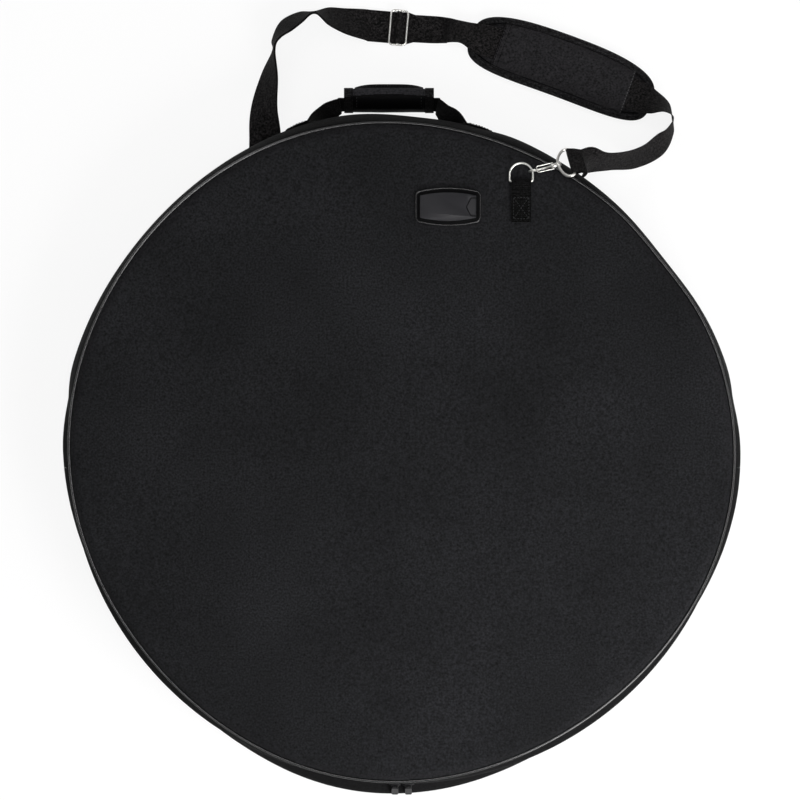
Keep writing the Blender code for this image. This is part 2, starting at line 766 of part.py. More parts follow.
def slider_frame(side):
    """Where a slider rests beside six o'clock: X along the zip, Y up the bag, Z outward."""
    half = (SLIDER_LENGTH + SLIDER_SPACING) / 2
    degrees = 270 + side * math.degrees(half / ZIP_RADIUS)
    turn = math.radians(degrees)
    outward_axis = Vector((math.cos(turn), math.sin(turn), 0))
    up_axis = Vector((0, 0, 1))
    along_axis = up_axis.cross(outward_axis)
    matrix = Matrix((along_axis, up_axis, outward_axis)).transposed().to_4x4()
    matrix.translation = polar(0, 0, ZIP_HEIGHT)
    return matrix


def bail_centre():
    """Height of the bail's bar over the zip's circle."""
    face = coil_face() + SLIDER_PLAY + SLIDER_PLATE
    return face + GAP + PULL_EYE_WALL + GAP + BAIL_BAR * 0.75


def coil_face():
    return COIL_HEIGHT - CLOTH


def make_slider(name, side):
    matrix = slider_frame(side)
    half = SLIDER_LENGTH / 2
    front = ZIP_RADIUS + coil_face() + SLIDER_PLAY
    back = ZIP_RADIUS - CLOTH - GAP - ZIP_TAPE_THICKNESS - SLIDER_PLAY
    plate = box_mesh(
        (-half, -SLIDER_FRONT_REACH, front), (half, SLIDER_FRONT_REACH, front + SLIDER_PLATE)
    )
    body = add_mesh(name, plate, "bright_nickel", matrix)
    centre = ZIP_RADIUS + bail_centre()
    post_inner = PULL_EYE_WIDTH / 2 + GAP
    post_outer = post_inner + BAIL_POST
    overlap = SLIDER_PLATE / 2
    bar = BAIL_BAR / 2
    boxes = (
        ((-half, -SLIDER_BACK_REACH, back - SLIDER_PLATE), (half, SLIDER_BACK_REACH, back)),
        ((-half / 2, -SLIDER_NECK, back - overlap), (half / 2, SLIDER_NECK, front + overlap)),
        ((-post_outer, -bar * 2, front + overlap), (-post_inner, bar * 2, centre + bar * 2)),
        ((post_inner, -bar * 2, front + overlap), (post_outer, bar * 2, centre + bar * 2)),
        ((-post_outer + overlap, -bar, centre - bar), (post_outer - overlap, bar, centre + bar)),
    )
    for index, (low, high) in enumerate(boxes):
        tool = add_mesh(f"{name}_block_{index}", box_mesh(low, high), "bright_nickel", matrix)
        combine(body, tool)


def pull_tilt(centre):
    """How far a hanging pull leans outward to lie on the swell of the band below it."""
    room = PULL_ROOM + PULL_THICKNESS / 2
    steepest = 0.0
    for height in (CREST_HEIGHT, ZIP_FLAT_LOW):
        drop = ZIP_HEIGHT - height
        reach = lower_side(270, height) + room - centre
        steepest = max(steepest, math.atan2(reach, drop))
    return steepest


def make_pull(name, side):
    """The pull tab, hung on the slider's bail, with its origin on the bail's bar."""
    centre = ZIP_RADIUS + bail_centre()
    tilt = Matrix.Rotation(-pull_tilt(centre), 4, "X")
    matrix = slider_frame(side) @ Matrix.Translation((0, 0, centre)) @ tilt
    inner = BAIL_BAR * 0.75 + GAP
    outer = inner + PULL_EYE_WALL
    half = PULL_EYE_WIDTH / 2
    sides = 12

    def ring(radius):
        turns = [math.tau * (index + 0.5) / sides for index in range(sides)]
        return [(radius * math.cos(turn), radius * math.sin(turn)) for turn in turns]

    eye = ring_prism(ring(outer), ring(inner), -half, half)
    to_x = Matrix.Rotation(math.radians(90), 4, "Y")
    bmesh.ops.transform(eye, matrix=to_x, verts=eye.verts[:])
    body = add_mesh(name, eye, "bright_nickel", matrix)
    wall = inner + PULL_EYE_WALL / 2
    tab = box_mesh(
        (-PULL_WIDTH / 2, -PULL_LENGTH, -PULL_THICKNESS / 2),
        (PULL_WIDTH / 2, -outer - BAIL_BAR, PULL_THICKNESS / 2),
    )
    combine(body, add_mesh(name + "_tab", tab, "bright_nickel", matrix))
    stem = box_mesh(
        (-half, -outer - BAIL_BAR * 2, -PULL_THICKNESS / 2), (half, -wall, PULL_THICKNESS / 2)
    )
    combine(body, add_mesh(name + "_stem", stem, "bright_nickel", matrix))


def handle_matrix():
    """X along the grip, Y away from the bag in the drooping handle's own plane."""
    x = HANDLE_X_SHARE * BAG_RADIUS
    degrees = math.degrees(math.atan2(BAG_RADIUS, x))
    y = side_radius(degrees, HANDLE_AXIS_HEIGHT) - HANDLE_AXIS_INSET
    place = Matrix.Translation((x, y, HANDLE_AXIS_HEIGHT))
    return place @ Matrix.Rotation(math.radians(-HANDLE_DROOP_DEG), 4, "X")


def grip_section(extra, start=0.0, end=360.0, sides=GRIP_SIDES):
    """Points round the grip's oval section, in the handle's Y and Z."""
    turns = spread(math.radians(start), math.radians(end), sides)
    half_y = GRIP_THICKNESS / 2 + extra
    half_z = GRIP_WIDTH / 2 + extra
    return [(HANDLE_RISE + half_y * math.cos(t), half_z * math.sin(t)) for t in turns]


def sweep_x(section, low, high):
    """A sheet that carries an open line of (y, z) points along X."""
    ends = (low, high)
    return surface_grid(
        len(section) - 1, 1, lambda column, row: (ends[row], section[column][0], section[column][1])
    )


def add_tube_x(name, inner, outer, low, high, material, matrix):
    """A tube along X between two closed (y, z) sections of as many points."""
    count = len(inner) - 1

    def place(column, row):
        y, z = (outer, inner, inner, outer)[row % 4][column % count]
        x = (low, low, high, high)[row % 4]
        return (x, y, z)

    bm = surface_grid(count, 4, place)
    bmesh.ops.remove_doubles(bm, verts=bm.verts[:], dist=GAP / 10)
    add_mesh(name, bm, material, matrix, smooth=False)


def slot_section(sides=GRIP_SIDES):
    """The flat slot in the grip that the webbing runs through, nearer to the bag."""
    points = []
    middle = HANDLE_RISE - HANDLE_SETBACK
    half_y = HANDLE_WEBBING_THICKNESS / 2 + GRIP_PLAY
    half_z = HANDLE_WEBBING_WIDTH / 2 + GRIP_PLAY
    for turn in spread(0.0, math.tau, sides):
        reach = max(abs(math.cos(turn)), abs(math.sin(turn)))
        points.append((middle + half_y * math.cos(turn) / reach, half_z * math.sin(turn) / reach))
    return points


def handle_stations():
    """The handle webbing's centre line and width direction from one anchor to the other."""
    matrix = handle_matrix()
    half_grip = GRIP_LENGTH / 2
    half_span = HANDLE_SPAN / 2
    rise = HANDLE_RISE - HANDLE_SETBACK
    across = (matrix.to_3x3() @ Vector((0, 0, 1))).normalized()
    stations = []
    for side in (-1, 1):
        lift = GAP + HANDLE_WEBBING_THICKNESS / 2
        leg = [(anchor_point(matrix.translation.x + side * half_span, lift), Vector((0, 0, 1)))]
        for reach_share, rise_share, lean in reversed(HANDLE_LEG_SHARES):
            reach = blend(half_grip, half_span, reach_share)
            turn = math.radians(lean)
            place = matrix @ Vector((side * reach, rise * rise_share, 0))
            leg.append((place, Vector((0, math.sin(turn), math.cos(turn)))))
        leg.append((matrix @ Vector((side * half_grip, rise, 0)), across))
        leg.append((matrix @ Vector((0, rise, 0)), across))
        stations.append(leg)
    right = stations[1][:-1]
    return stations[0] + right[::-1]


def anchor_point(x, lift):
    """A point over the side band's surface at the handle's height."""
    y = BAG_RADIUS
    for _ in range(6):
        degrees = math.degrees(math.atan2(y, x))
        radius = side_radius(degrees, HANDLE_AXIS_HEIGHT) + lift
        y = math.sqrt(radius * radius - x * x)
    return Vector((x, y, HANDLE_AXIS_HEIGHT))


def smooth_stations(stations, steps):
    """More stations along a smooth curve through the given ones."""
    padded = [stations[0]] + list(stations) + [stations[-1]]
    result = []
    for index in range(len(stations) - 1):
        group = padded[index : index + 4]
        for step in range(steps):
            share = step / steps
            place = catmull([item[0] for item in group], share)
            width = catmull([item[1] for item in group], share).normalized()
            result.append((place, width))
    result.append(stations[-1])
    return result


def catmull(knots, share):
    before, start, end, after = knots
    return 0.5 * (
        2 * start
        + (end - before) * share
        + (2 * before - 5 * start + 4 * end - after) * share**2
        + (3 * start - before - 3 * end + after) * share**3
    )


def station_normals(stations):
    """The direction square to the band at every station."""
    normals = []
    last = len(stations) - 1
    for index, (place, width) in enumerate(stations):
        before = stations[max(index - 1, 0)][0]
        after = stations[min(index + 1, last)][0]
        normals.append((after - before).cross(width).normalized())
    return normals


def add_band(name, stations, width, thickness, material, matrix=None):
    """A flat band of webbing through stations of (centre, width direction)."""
    normals = station_normals(stations)
    bm = surface_grid(len(stations) - 1, 1, lambda column, row: (column, row, 0))
    bmesh.ops.triangulate(bm, faces=bm.faces[:], quad_method="FIXED")
    thicken(bm, lambda point: Vector((0, 0, 1)))
    for vert in bm.verts:
        column, row, layer = (round(value) for value in vert.co)
        centre, across = stations[column]
        lift = normals[column] * thickness * (layer - 0.5)
        vert.co = centre + across * width * (row - 0.5) + lift
    return add_mesh(name, bm, material, matrix)


def make_handle():
    matrix = handle_matrix()
    for name, side in (("handle_anchor_left", -1), ("handle_anchor_right", 1)):
        inner = matrix.translation.x + side * (HANDLE_SPAN / 2 + ANCHOR_ROOM)
        outer = inner + side * ANCHOR_LENGTH
        lift = GAP + HANDLE_WEBBING_THICKNESS / 2
        stations = [(anchor_point(x, lift), Vector((0, 0, 1))) for x in spread(inner, outer, 4)]
        add_band(
            name, stations, HANDLE_WEBBING_WIDTH, HANDLE_WEBBING_THICKNESS, "black_webbing"
        )
    stations = smooth_stations(handle_stations(), 3)
    add_band(
        "handle_webbing", stations, HANDLE_WEBBING_WIDTH, HANDLE_WEBBING_THICKNESS, "black_webbing"
    )
    half = GRIP_LENGTH / 2
    add_tube_x("handle_wrap", slot_section(), grip_section(0), -half, half, "black_vinyl", matrix)
    for name, side in (("handle_binding_left", -1), ("handle_binding_right", 1)):
        ends = sorted((side * half, side * (half - GRIP_BINDING_WIDTH)))
        inner = grip_section(GAP)
        outer = grip_section(GAP + GRIP_BINDING_THICKNESS)
        add_tube_x(name, inner, outer, ends[0], ends[1], "black_webbing", matrix)
    section = grip_section(GAP, WRAP_FLAP_FOLD_DEG, WRAP_FLAP_END_DEG, 8)
    flap_half = WRAP_FLAP_LENGTH / 2
    bm = sweep_x(section, -flap_half, flap_half)

    def swell_out(point):
        away = Vector((0, (point.y - HANDLE_RISE) * GRIP_WIDTH / GRIP_THICKNESS, point.z))
        return away.normalized() * WRAP_FLAP_THICKNESS

    thicken(bm, swell_out)
    first = section[0]
    hinge = Vector((0, first[0], first[1])) + swell_out(Vector((0, first[0], first[1])))
    bmesh.ops.translate(bm, vec=-hinge, verts=bm.verts[:])
    add_mesh("handle_wrap_flap", bm, "black_vinyl", matrix @ Matrix.Translation(hinge))


def ring_path():
    """The D-ring's wire: a straight bar, short sides and a round end."""
    half = RING_HALF_WIDTH
    corner = RING_CORNER
    points = []
    for start, end, centre in (
        (180, 270, (-half + corner, corner)),
        (270, 360, (half - corner, corner)),
    ):
        for degrees in spread(start, end, 3):
            turn = math.radians(degrees)
            x = centre[0] + corner * math.cos(turn)
            points.append((x, centre[1] + corner * math.sin(turn), 0))
    for degrees in spread(0, 180, 10):
        turn = math.radians(degrees)
        y = RING_STRAIGHT + RING_ARC_DEPTH * math.sin(turn)
        points.append((half * math.cos(turn), y, 0))
    return points


def front_ring_matrix():
    x = FRONT_RING_X_SHARE * BAG_RADIUS
    y = FRONT_RING_Y_SHARE * BAG_RADIUS
    bar_height = BAG_DEPTH + TAB_STACK
    hold = hold_point(FRONT_HOLD_DEG)
    axis_height = BAG_DEPTH + HOOK_PANEL_ROOM + HOOK_HALF_HEIGHT + HOOK_WIRE
    tilt = math.asin((axis_height - HOOK_HOLD_DROP - bar_height) / hold.y)
    return Matrix.Translation((x, y, bar_height)) @ Matrix.Rotation(tilt, 4, "X")


def hold_point(degrees):
    """Where a hook holds the ring, in the ring's own frame."""
    turn = math.radians(degrees)
    y = RING_STRAIGHT + RING_ARC_DEPTH * math.sin(turn)
    return Vector((RING_HALF_WIDTH * math.cos(turn), y, 0))


def back_loop_origin():
    """The swivel of the back hook, under the back panel."""
    y = BACK_LOOP_Y_SHARE * BAG_RADIUS - LOOP_DEPTH
    return Vector((BACK_STRAP_X_SHARE * BAG_RADIUS, y, BACK_HOOK_HEIGHT))


def back_ring_tilt():
    drop = RECESS_DEPTH - TAB_STACK - (BACK_HOOK_HEIGHT - HOOK_HOLD_DROP)
    return math.asin(drop / RING_DEPTH)


def back_ring_origin():
    swivel = back_loop_origin()
    y = swivel.y - HOOK_REACH - RING_DEPTH * math.cos(back_ring_tilt())
    return Vector((swivel.x, y, RECESS_DEPTH - TAB_STACK))


def back_ring_matrix():
    return Matrix.Translation(back_ring_origin()) @ Matrix.Rotation(-back_ring_tilt(), 4, "X")


def front_hook_matrix():
    """X from the ring towards the strap, the origin at the swivel."""
    ring = front_ring_matrix()
    held = ring @ hold_point(FRONT_HOLD_DEG)
    yaw = Matrix.Rotation(math.radians(FRONT_HOOK_YAW_DEG), 4, "Z")
    pitch = Matrix.Rotation(math.radians(-FRONT_HOOK_PITCH_DEG), 4, "Y")
    turn = yaw @ pitch
    origin = held + turn.to_3x3() @ Vector((HOOK_REACH, 0, HOOK_HOLD_DROP))
    return Matrix.Translation(origin) @ turn


def back_hook_matrix():
    return Matrix.Translation(back_loop_origin()) @ Matrix.Rotation(math.radians(90), 4, "Z")


def front_loop_matrix():
    return front_hook_matrix() @ Matrix.Rotation(math.radians(FRONT_LOOP_ROLL_DEG), 4, "X")


def make_ring_tab(name, bar, roof, side):
    """Webbing folded round the ring's bar and sewn flat: side is +1 on the front panel."""
    lift = TAB_THICKNESS / 2
    fold = RING_WIRE + GAP + lift
    low = roof + side * (GAP + lift)
    points = [Vector((bar.x, bar.y - TAB_LENGTH, low))]
    points.append(Vector((bar.x, bar.y - TAB_LAP / 2, low)))
    for degrees in spread(-90, 90, 6):
        turn = math.radians(degrees)
        y = bar.y + fold * math.cos(turn)
        points.append(Vector((bar.x, y, bar.z + side * fold * math.sin(turn))))
    upper = low + side * (TAB_THICKNESS + GAP)
    points.append(Vector((bar.x, bar.y - TAB_LAP / 2, bar.z + side * fold)))
    points.append(Vector((bar.x, bar.y - TAB_LAP, upper)))
    points.append(Vector((bar.x, bar.y - TAB_LENGTH, upper)))
    stations = [(point, Vector((1, 0, 0))) for point in points]
    add_band(name, stations, TAB_WIDTH, TAB_THICKNESS, "black_webbing")


def make_rings():
    front = front_ring_matrix()
    back = back_ring_matrix()
    add_wire("front_ring", ring_path(), RING_WIRE, "bright_nickel", front, cyclic=True)
    add_wire("back_ring", ring_path(), RING_WIRE, "bright_nickel", back, cyclic=True)
    make_ring_tab("front_ring_tab", front.translation, BAG_DEPTH, 1)
    make_ring_tab("back_ring_tab", back.translation, RECESS_DEPTH, -1)


def hook_path():
    """The hook's wire from the barrel round the eye to its nose, in X and Z."""
    half = HOOK_HALF_HEIGHT
    tip_x = -(HOOK_REACH + RING_WIRE + HOOK_TIP_ROOM + HOOK_WIRE)
    centre_x = tip_x + half
    start = -COLLAR_LENGTH / 2 - BARREL_LENGTH / 2
    bend = start - BARREL_LENGTH / 2
    points = [(start, 0, 0), (bend, 0, -half * 0.35), (-HOOK_THROAT, 0, -half)]
    for degrees in spread(270, 90, 9):
        turn = math.radians(degrees)
        points.append((centre_x + half * math.cos(turn), 0, half * math.sin(turn)))
    points.append((centre_x + HOOK_NOSE, 0, half))
    return points


def gate_matrix(hook):
    """The gate's pivot, on the barrel."""
    x = -COLLAR_LENGTH / 2 - BARREL_LENGTH * 0.6
    return hook @ Matrix.Translation((x, 0, 0))


def gate_path():
    """A bent wire whose legs straddle the hook and whose end closes under the nose."""
    half = BARREL_RADIUS + GAP + GATE_WIRE
    end_height = HOOK_EYE_HEIGHT / 2 - GAP - GATE_WIRE
    corner = half / 3
    points = [(0, -half, 0), (-GATE_LENGTH / 3, -half, end_height * 0.5)]
    points.append((-GATE_LENGTH + corner, -half, end_height))
    points.append((-GATE_LENGTH, -half + corner, end_height))
    return points + [(x, -y, z) for x, y, z in reversed(points)]


def make_hook(prefix, hook, loop):
    """One wire snap hook: the strap's loop with its collar, the hook and its gate."""
    collar_half = COLLAR_LENGTH / 2
    shoulder = LOOP_SHOULDER
    corner_x = LOOP_DEPTH
    half = LOOP_HALF_WIDTH
    points = [
        (0, COLLAR_RADIUS - HOOK_WIRE / 2, 0),
        (shoulder / 3, COLLAR_RADIUS + HOOK_WIRE * 2, 0),
        (corner_x - shoulder, half, 0),
        (corner_x - HOOK_WIRE, half, 0),
        (corner_x, half - HOOK_WIRE, 0),
    ]
    points += [(x, -y, z) for x, y, z in reversed(points)]
    name = prefix + "_hook_loop"
    wire = to_mesh(add_wire(name + "_wire", points, HOOK_WIRE, "bright_nickel", loop))
    bore = PIN_RADIUS + GAP
    profile = [
        (-collar_half, bore),
        (-collar_half, COLLAR_RADIUS),
        (collar_half, COLLAR_RADIUS),
        (collar_half, bore),
        (-collar_half, bore),
    ]
    collar = turned(name, profile, "bright_nickel", loop)
    combine(collar, wire)

    name = prefix + "_hook"
    wire = to_mesh(add_wire(name + "_wire", hook_path(), HOOK_WIRE, "bright_nickel", hook))
    back = -collar_half - GAP
    front = collar_half + GAP
    profile = [
        (back - BARREL_LENGTH, 0),
        (back - BARREL_LENGTH, BARREL_RADIUS * 0.8),
        (back - BARREL_LENGTH * 0.8, BARREL_RADIUS),
        (back, BARREL_RADIUS),
        (back, PIN_RADIUS),
        (front, PIN_RADIUS),
        (front, PIN_HEAD_RADIUS),
        (front + PIN_HEAD_LENGTH, PIN_HEAD_RADIUS),
        (front + PIN_HEAD_LENGTH, 0),
    ]
    body = turned(name, profile, "bright_nickel", hook)
    combine(body, wire)
    gate = gate_matrix(hook)
    add_wire(prefix + "_hook_gate", gate_path(), GATE_WIRE, "bright_nickel", gate, fineness=0)


def holder_outline(inset, points_a_side=5):
    """The card holder's outline: rounded corners, with top and bottom bowed outward."""
    half_x = HOLDER_WIDTH / 2 - inset
    half_y = HOLDER_HEIGHT / 2 - HOLDER_BULGE - inset
    corner = max(HOLDER_CORNER - inset, GAP)
    points = []
    corners = ((1, 1, 0), (-1, 1, 90), (-1, -1, 180), (1, -1, 270))
    for sign_x, sign_y, start in corners:
        centre = Vector((sign_x * (half_x - corner), sign_y * (half_y - corner)))
        for degrees in spread(start, start + 90, 3):
            turn = math.radians(degrees)
            x = centre.x + corner * math.cos(turn)
            y = centre.y + corner * math.sin(turn)
            points.append((x, y))
        if sign_y * sign_x > 0:
            run = half_x - corner
            for share in spread(1, -1, points_a_side)[1:-1]:
                bow = HOLDER_BULGE * (1 - share * share)
                points.append((sign_x * run * share, sign_y * (half_y + bow)))
    return points


def card_matrix():
    return Matrix.Translation((CARD_X_SHARE * BAG_RADIUS, CARD_Y_SHARE * BAG_RADIUS, 0))


def make_card_holder():
    matrix = card_matrix()
    outer = holder_outline(0)
    base = outline_prism(outer, BAG_DEPTH + GAP, HOLDER_TOP)
    add_mesh("card_holder_base", base, "black_vinyl", matrix)
    inner = holder_outline(HOLDER_BORDER)
    frame = ring_prism(outer, inner, WINDOW_HEIGHT, WINDOW_HEIGHT + HOLDER_FRAME)
    item = add_mesh("card_holder_frame", frame, "black_vinyl", matrix)
    wall_inner = holder_outline(HOLDER_WALL)
    wall = ring_prism(outer, wall_inner, CARD_HEIGHT, WINDOW_HEIGHT + HOLDER_FRAME / 2)
    lip = add_mesh("card_holder_wall", wall, "black_vinyl", matrix)
    reach = HOLDER_WIDTH / 2
    mouth_half = HOLDER_HEIGHT / 2 - HOLDER_BULGE - HOLDER_CORNER
    mouth = box_mesh(
        (reach - HOLDER_BORDER, -mouth_half, BAG_DEPTH), (reach * 2, mouth_half, WINDOW_HEIGHT)
    )
    combine(lip, add_mesh("card_mouth", mouth, "black_vinyl", matrix), "DIFFERENCE")
    combine(item, lip)
    window = outline_prism(
        holder_outline(HOLDER_BORDER + GAP), WINDOW_HEIGHT, WINDOW_HEIGHT + WINDOW_THICKNESS
    )
    add_mesh("card_holder_window", window, "clear_window", matrix)
    half_x = HOLDER_WIDTH / 2 - HOLDER_BORDER
    card = box_mesh(
        (-half_x - CARD_TUCK, -mouth_half + GAP, CARD_HEIGHT),
        (half_x + CARD_TUCK, mouth_half - GAP, CARD_HEIGHT + CARD_THICKNESS),
    )
    add_mesh("name_card", card, "dark_card", matrix)


def rolled_width(tangent, degrees):
    """The width direction of a strap that heads along tangent and is rolled about it."""
    left = Vector((-tangent.y, tangent.x, 0)).normalized()
    up = tangent.cross(left).normalized()
    roll = math.radians(degrees)
    return left * math.cos(roll) + up * math.sin(roll)


def route_stations(before, knots, after):
    """Stations for knots of (place, roll): the neighbours give the end tangents."""
    places = [before] + [place for place, roll in knots] + [after]
    stations = []
    for index, (place, roll) in enumerate(knots):
        tangent = (places[index + 2] - places[index]).normalized()
        stations.append((place, rolled_width(tangent, roll)))
    return stations


def edge_lift(roll):
    """Height of a strap's centre when its low edge is on the floor."""
    return STRAP_FLOOR + STRAP_WIDTH / 2 * abs(math.sin(math.radians(roll)))


def off_floor(stations):
    """Keep both edges of every station on or over the floor."""
    result = []
    for place, width in stations:
        low = STRAP_FLOOR + STRAP_WIDTH / 2 * abs(width.z)
        result.append((Vector((place.x, place.y, max(place.z, low))), width))
    return result


def loop_fold(loop, top_first):
    """Stations of the strap's bend round a loop's bar, from one layer to the other."""
    bar = Vector((LOOP_DEPTH, 0, 0))
    side = 1 if top_first else -1
    width = (loop.to_3x3() @ Vector((0, 1, 0))).normalized()
    places = [bar + Vector((STRAP_FOLD / 2, 0, side * LAYER_OFFSET))]
    for degrees in spread(90, 270, 6):
        turn = math.radians(degrees)
        x = FOLD_RADIUS * math.cos(turn)
        places.append(bar + Vector((x, 0, side * FOLD_RADIUS * math.sin(turn))))
    places.append(bar + Vector((STRAP_FOLD / 2, 0, -side * LAYER_OFFSET)))
    places.append(bar + Vector((STRAP_FOLD, 0, -side * LAYER_OFFSET)))
    return [(loop @ place, width) for place in places]


def strap_slider_matrix():
    x = STRAP_SLIDER_X_SHARE * BAG_RADIUS
    y = STRAP_SLIDER_Y_SHARE * BAG_RADIUS
    turn = Matrix.Rotation(math.radians(STRAP_SLIDER_YAW_DEG), 4, "Z")
    return Matrix.Translation((x, y, 0)) @ turn


def pad_matrix():
    place = Matrix.Translation((PAD_X_SHARE * BAG_RADIUS, PAD_Y_SHARE * BAG_RADIUS, 0))
    return place @ Matrix.Rotation(math.radians(PAD_YAW_DEG), 4, "Z")


def left_stations():
    """The strap from the back hook's loop to the slider."""
    loop = back_hook_matrix()
    slider = strap_slider_matrix()
    reach = STRAP_SLIDER_DEPTH / 2 + SLIDER_RUN_BEFORE
    knots = []
    for x, y, roll in LEFT_ROUTE_SHARES:
        place = Vector((x * BAG_RADIUS, y * BAG_RADIUS, edge_lift(roll)))
        knots.append((place, roll))
    first = loop @ Vector((LOOP_DEPTH + STRAP_FOLD, 0, -LAYER_OFFSET))
    run_start = slider @ Vector((-reach, 0, STRAP_FLOOR))
    run_end = slider @ Vector((-STRAP_SLIDER_DEPTH / 2 - GAP, 0, STRAP_FLOOR))
    knots.append((run_start, 0))
    stations = route_stations(first, knots, run_end)
    start_width = (loop.to_3x3() @ Vector((0, 1, 0))).normalized()
    smooth = smooth_stations([(first, start_width)] + stations, STRAP_STEPS)
    return off_floor(smooth), (run_end, stations[-1][1])


def middle_stations():
    """The strap past the slider and through the pad."""
    slider = strap_slider_matrix()
    pad = pad_matrix()
    pad_reach = PAD_LENGTH / 2
    slider_width = slider.to_3x3() @ Vector((0, 1, 0))
    pad_width = pad.to_3x3() @ Vector((0, 1, 0))
    run = STRAP_SLIDER_DEPTH / 2 + SLIDER_RUN_AFTER
    start = slider @ Vector((run, 0, STRAP_FLOOR))
    entry_x = -pad_reach - PAD_SLIDE - PAD_RUN_ROOM
    entry = pad @ Vector((entry_x, 0, PAD_STRAP_HEIGHT))
    leave = pad @ Vector((pad_reach + PAD_RUN_ROOM, 0, PAD_STRAP_HEIGHT))
    return [(start, slider_width), (entry, pad_width), (leave, pad_width)]


def right_stations(leave):
    """The strap from the pad to the front hook's loop."""
    loop = front_loop_matrix()
    knots = []
    for x, y, lift, roll in RIGHT_ROUTE_SHARES:
        height = edge_lift(roll) + lift * BAG_RADIUS
        knots.append((Vector((x * BAG_RADIUS, y * BAG_RADIUS, height)), roll))
    last = loop @ Vector((LOOP_DEPTH + STRAP_FOLD, 0, LAYER_OFFSET))
    stations = route_stations(leave[0], knots, last)
    width = (loop.to_3x3() @ Vector((0, -1, 0))).normalized()
    return off_floor(smooth_stations([leave] + stations + [(last, width)], STRAP_STEPS))


def make_strap():
    left, run_end = left_stations()
    middle = middle_stations()
    back_fold = loop_fold(back_hook_matrix(), True)
    flipped = [(place, -width) for place, width in loop_fold(front_loop_matrix(), True)]
    right = right_stations(middle[-1])
    main = back_fold[:-1] + left + middle + right[1:] + flipped
    add_band("strap_webbing", main, STRAP_WIDTH, STRAP_THICKNESS, "black_webbing")
    add_return_layer(left, run_end)


def add_return_layer(left, run_end):
    """The strap's second layer, from the back loop to the slider, lying on the first."""
    chain = left + [run_end]
    step = STRAP_THICKNESS + GAP
    stations = []
    for (place, width), normal in zip(chain, station_normals(chain)):
        stations.append((place + normal * step, width))
    add_band("strap_return_webbing", stations, STRAP_WIDTH, STRAP_THICKNESS, "black_webbing")


def make_strap_slider():
    """The wire slider with its centre bar, and the webbing end sewn round that bar."""
    matrix = strap_slider_matrix()
    wire = STRAP_SLIDER_WIRE
    half_x = STRAP_SLIDER_DEPTH / 2 - wire
    half_y = STRAP_WIDTH / 2 + GAP + wire
    corner = STRAP_SLIDER_CORNER
    feet_top = STRAP_FLOOR + STRAP_THICKNESS / 2 + GAP + BAR_LOOP_THICKNESS
    height = feet_top + GAP * 2 + wire
    points = []
    for sign_x, sign_y, start in ((1, 1, 0), (-1, 1, 90), (-1, -1, 180), (1, -1, 270)):
        for degrees in spread(start, start + 90, 3):
            turn = math.radians(degrees)
            x = sign_x * (half_x - corner) + corner * math.cos(turn)
            y = sign_y * (half_y - corner) + corner * math.sin(turn)
            points.append((x, y, height))
    ring = to_mesh(
        add_wire("strap_slider", points, wire, "bright_nickel", matrix, cyclic=True)
    )
    bar_points = [(0, -half_y, height), (0, half_y, height)]
    bar = to_mesh(add_wire("strap_slider_bar", bar_points, wire, "bright_nickel", matrix))
    combine(ring, bar)

    lift = BAR_LOOP_THICKNESS / 2
    over = wire + GAP + lift
    low = feet_top - lift
    foot = STRAP_SLIDER_DEPTH / 2 - GAP
    arch = [(over * math.cos(t), height + over * math.sin(t)) for t in spread(math.pi, 0, 6)]
    places = [(-foot, low), (-over * 2, low)] + arch + [(over * 2, low), (foot, low)]
    stations = [(Vector((x, 0, z)), Vector((0, 1, 0))) for x, z in places]
    add_band("strap_bar_loop", stations, STRAP_WIDTH, BAR_LOOP_THICKNESS, "black_webbing", matrix)


def pad_outline(inset):
    """The pad's rounded plan outline."""
    half_x = PAD_LENGTH / 2 - inset
    half_y = PAD_WIDTH / 2 - inset
    points = []
    for index in range(PAD_POINTS):
        turn = math.tau * (index + 0.5) / PAD_POINTS
        x, y = math.cos(turn), math.sin(turn)
        power = 2 / PAD_POWER
        points.append(
            (
                half_x * math.copysign(abs(x) ** power, x),
                half_y * math.copysign(abs(y) ** power, y),
            )
        )
    return points


def make_pad():
    matrix = pad_matrix()
    inset = PAD_BINDING + GAP
    lining_top = GAP + PAD_LINING
    foam_low = lining_top + GAP
    foam_top = foam_low + PAD_FOAM
    lining = outline_prism(pad_outline(inset), GAP, lining_top)
    add_mesh("pad_lining", lining, "black_lining", matrix)
    foam = outline_prism(pad_outline(inset), foam_low, foam_top)
    item = add_mesh("pad_foam", foam, "grey_foam", matrix)
    modifier = item.modifiers.new("rounded_edge", "BEVEL")
    modifier.width = PAD_BEVEL
    modifier.segments = 1
    cover = outline_prism(pad_outline(inset), foam_top + GAP, PAD_TOP)
    add_mesh("pad_cover", cover, "pad_cloth", matrix)
    ring = ring_prism(pad_outline(0), pad_outline(PAD_BINDING), GAP, PAD_TOP)
    item = add_mesh("pad_binding", ring, "black_webbing", matrix)
    modifier = item.modifiers.new("rounded_edge", "BEVEL")
    modifier.width = PAD_BEVEL
    modifier.segments = 1
    modifier.limit_method = "ANGLE"
    make_pad_sleeve(matrix)


def make_pad_sleeve(matrix):
    """The cover sleeve over the strap, sewn down along both sides of the pad."""
    half_strap = STRAP_WIDTH / 2 + GAP * 2
    seat = PAD_TOP + GAP
    roof = PAD_STRAP_HEIGHT + STRAP_THICKNESS / 2 + GAP
    edge = PAD_WIDTH / 2 - PAD_BINDING - GAP * 2
    seam = edge - PAD_SLEEVE_SEAM
    section = [(-edge, seat), (-seam, seat), (-half_strap, roof)]
    section += [(-y, z) for y, z in reversed(section)]
    half = PAD_SLEEVE_LENGTH / 2
    bm = sweep_x(section, -half, half)
    add_mesh("pad_sleeve", thicken(bm, upward(PAD_SLEEVE)), "pad_cloth", matrix)


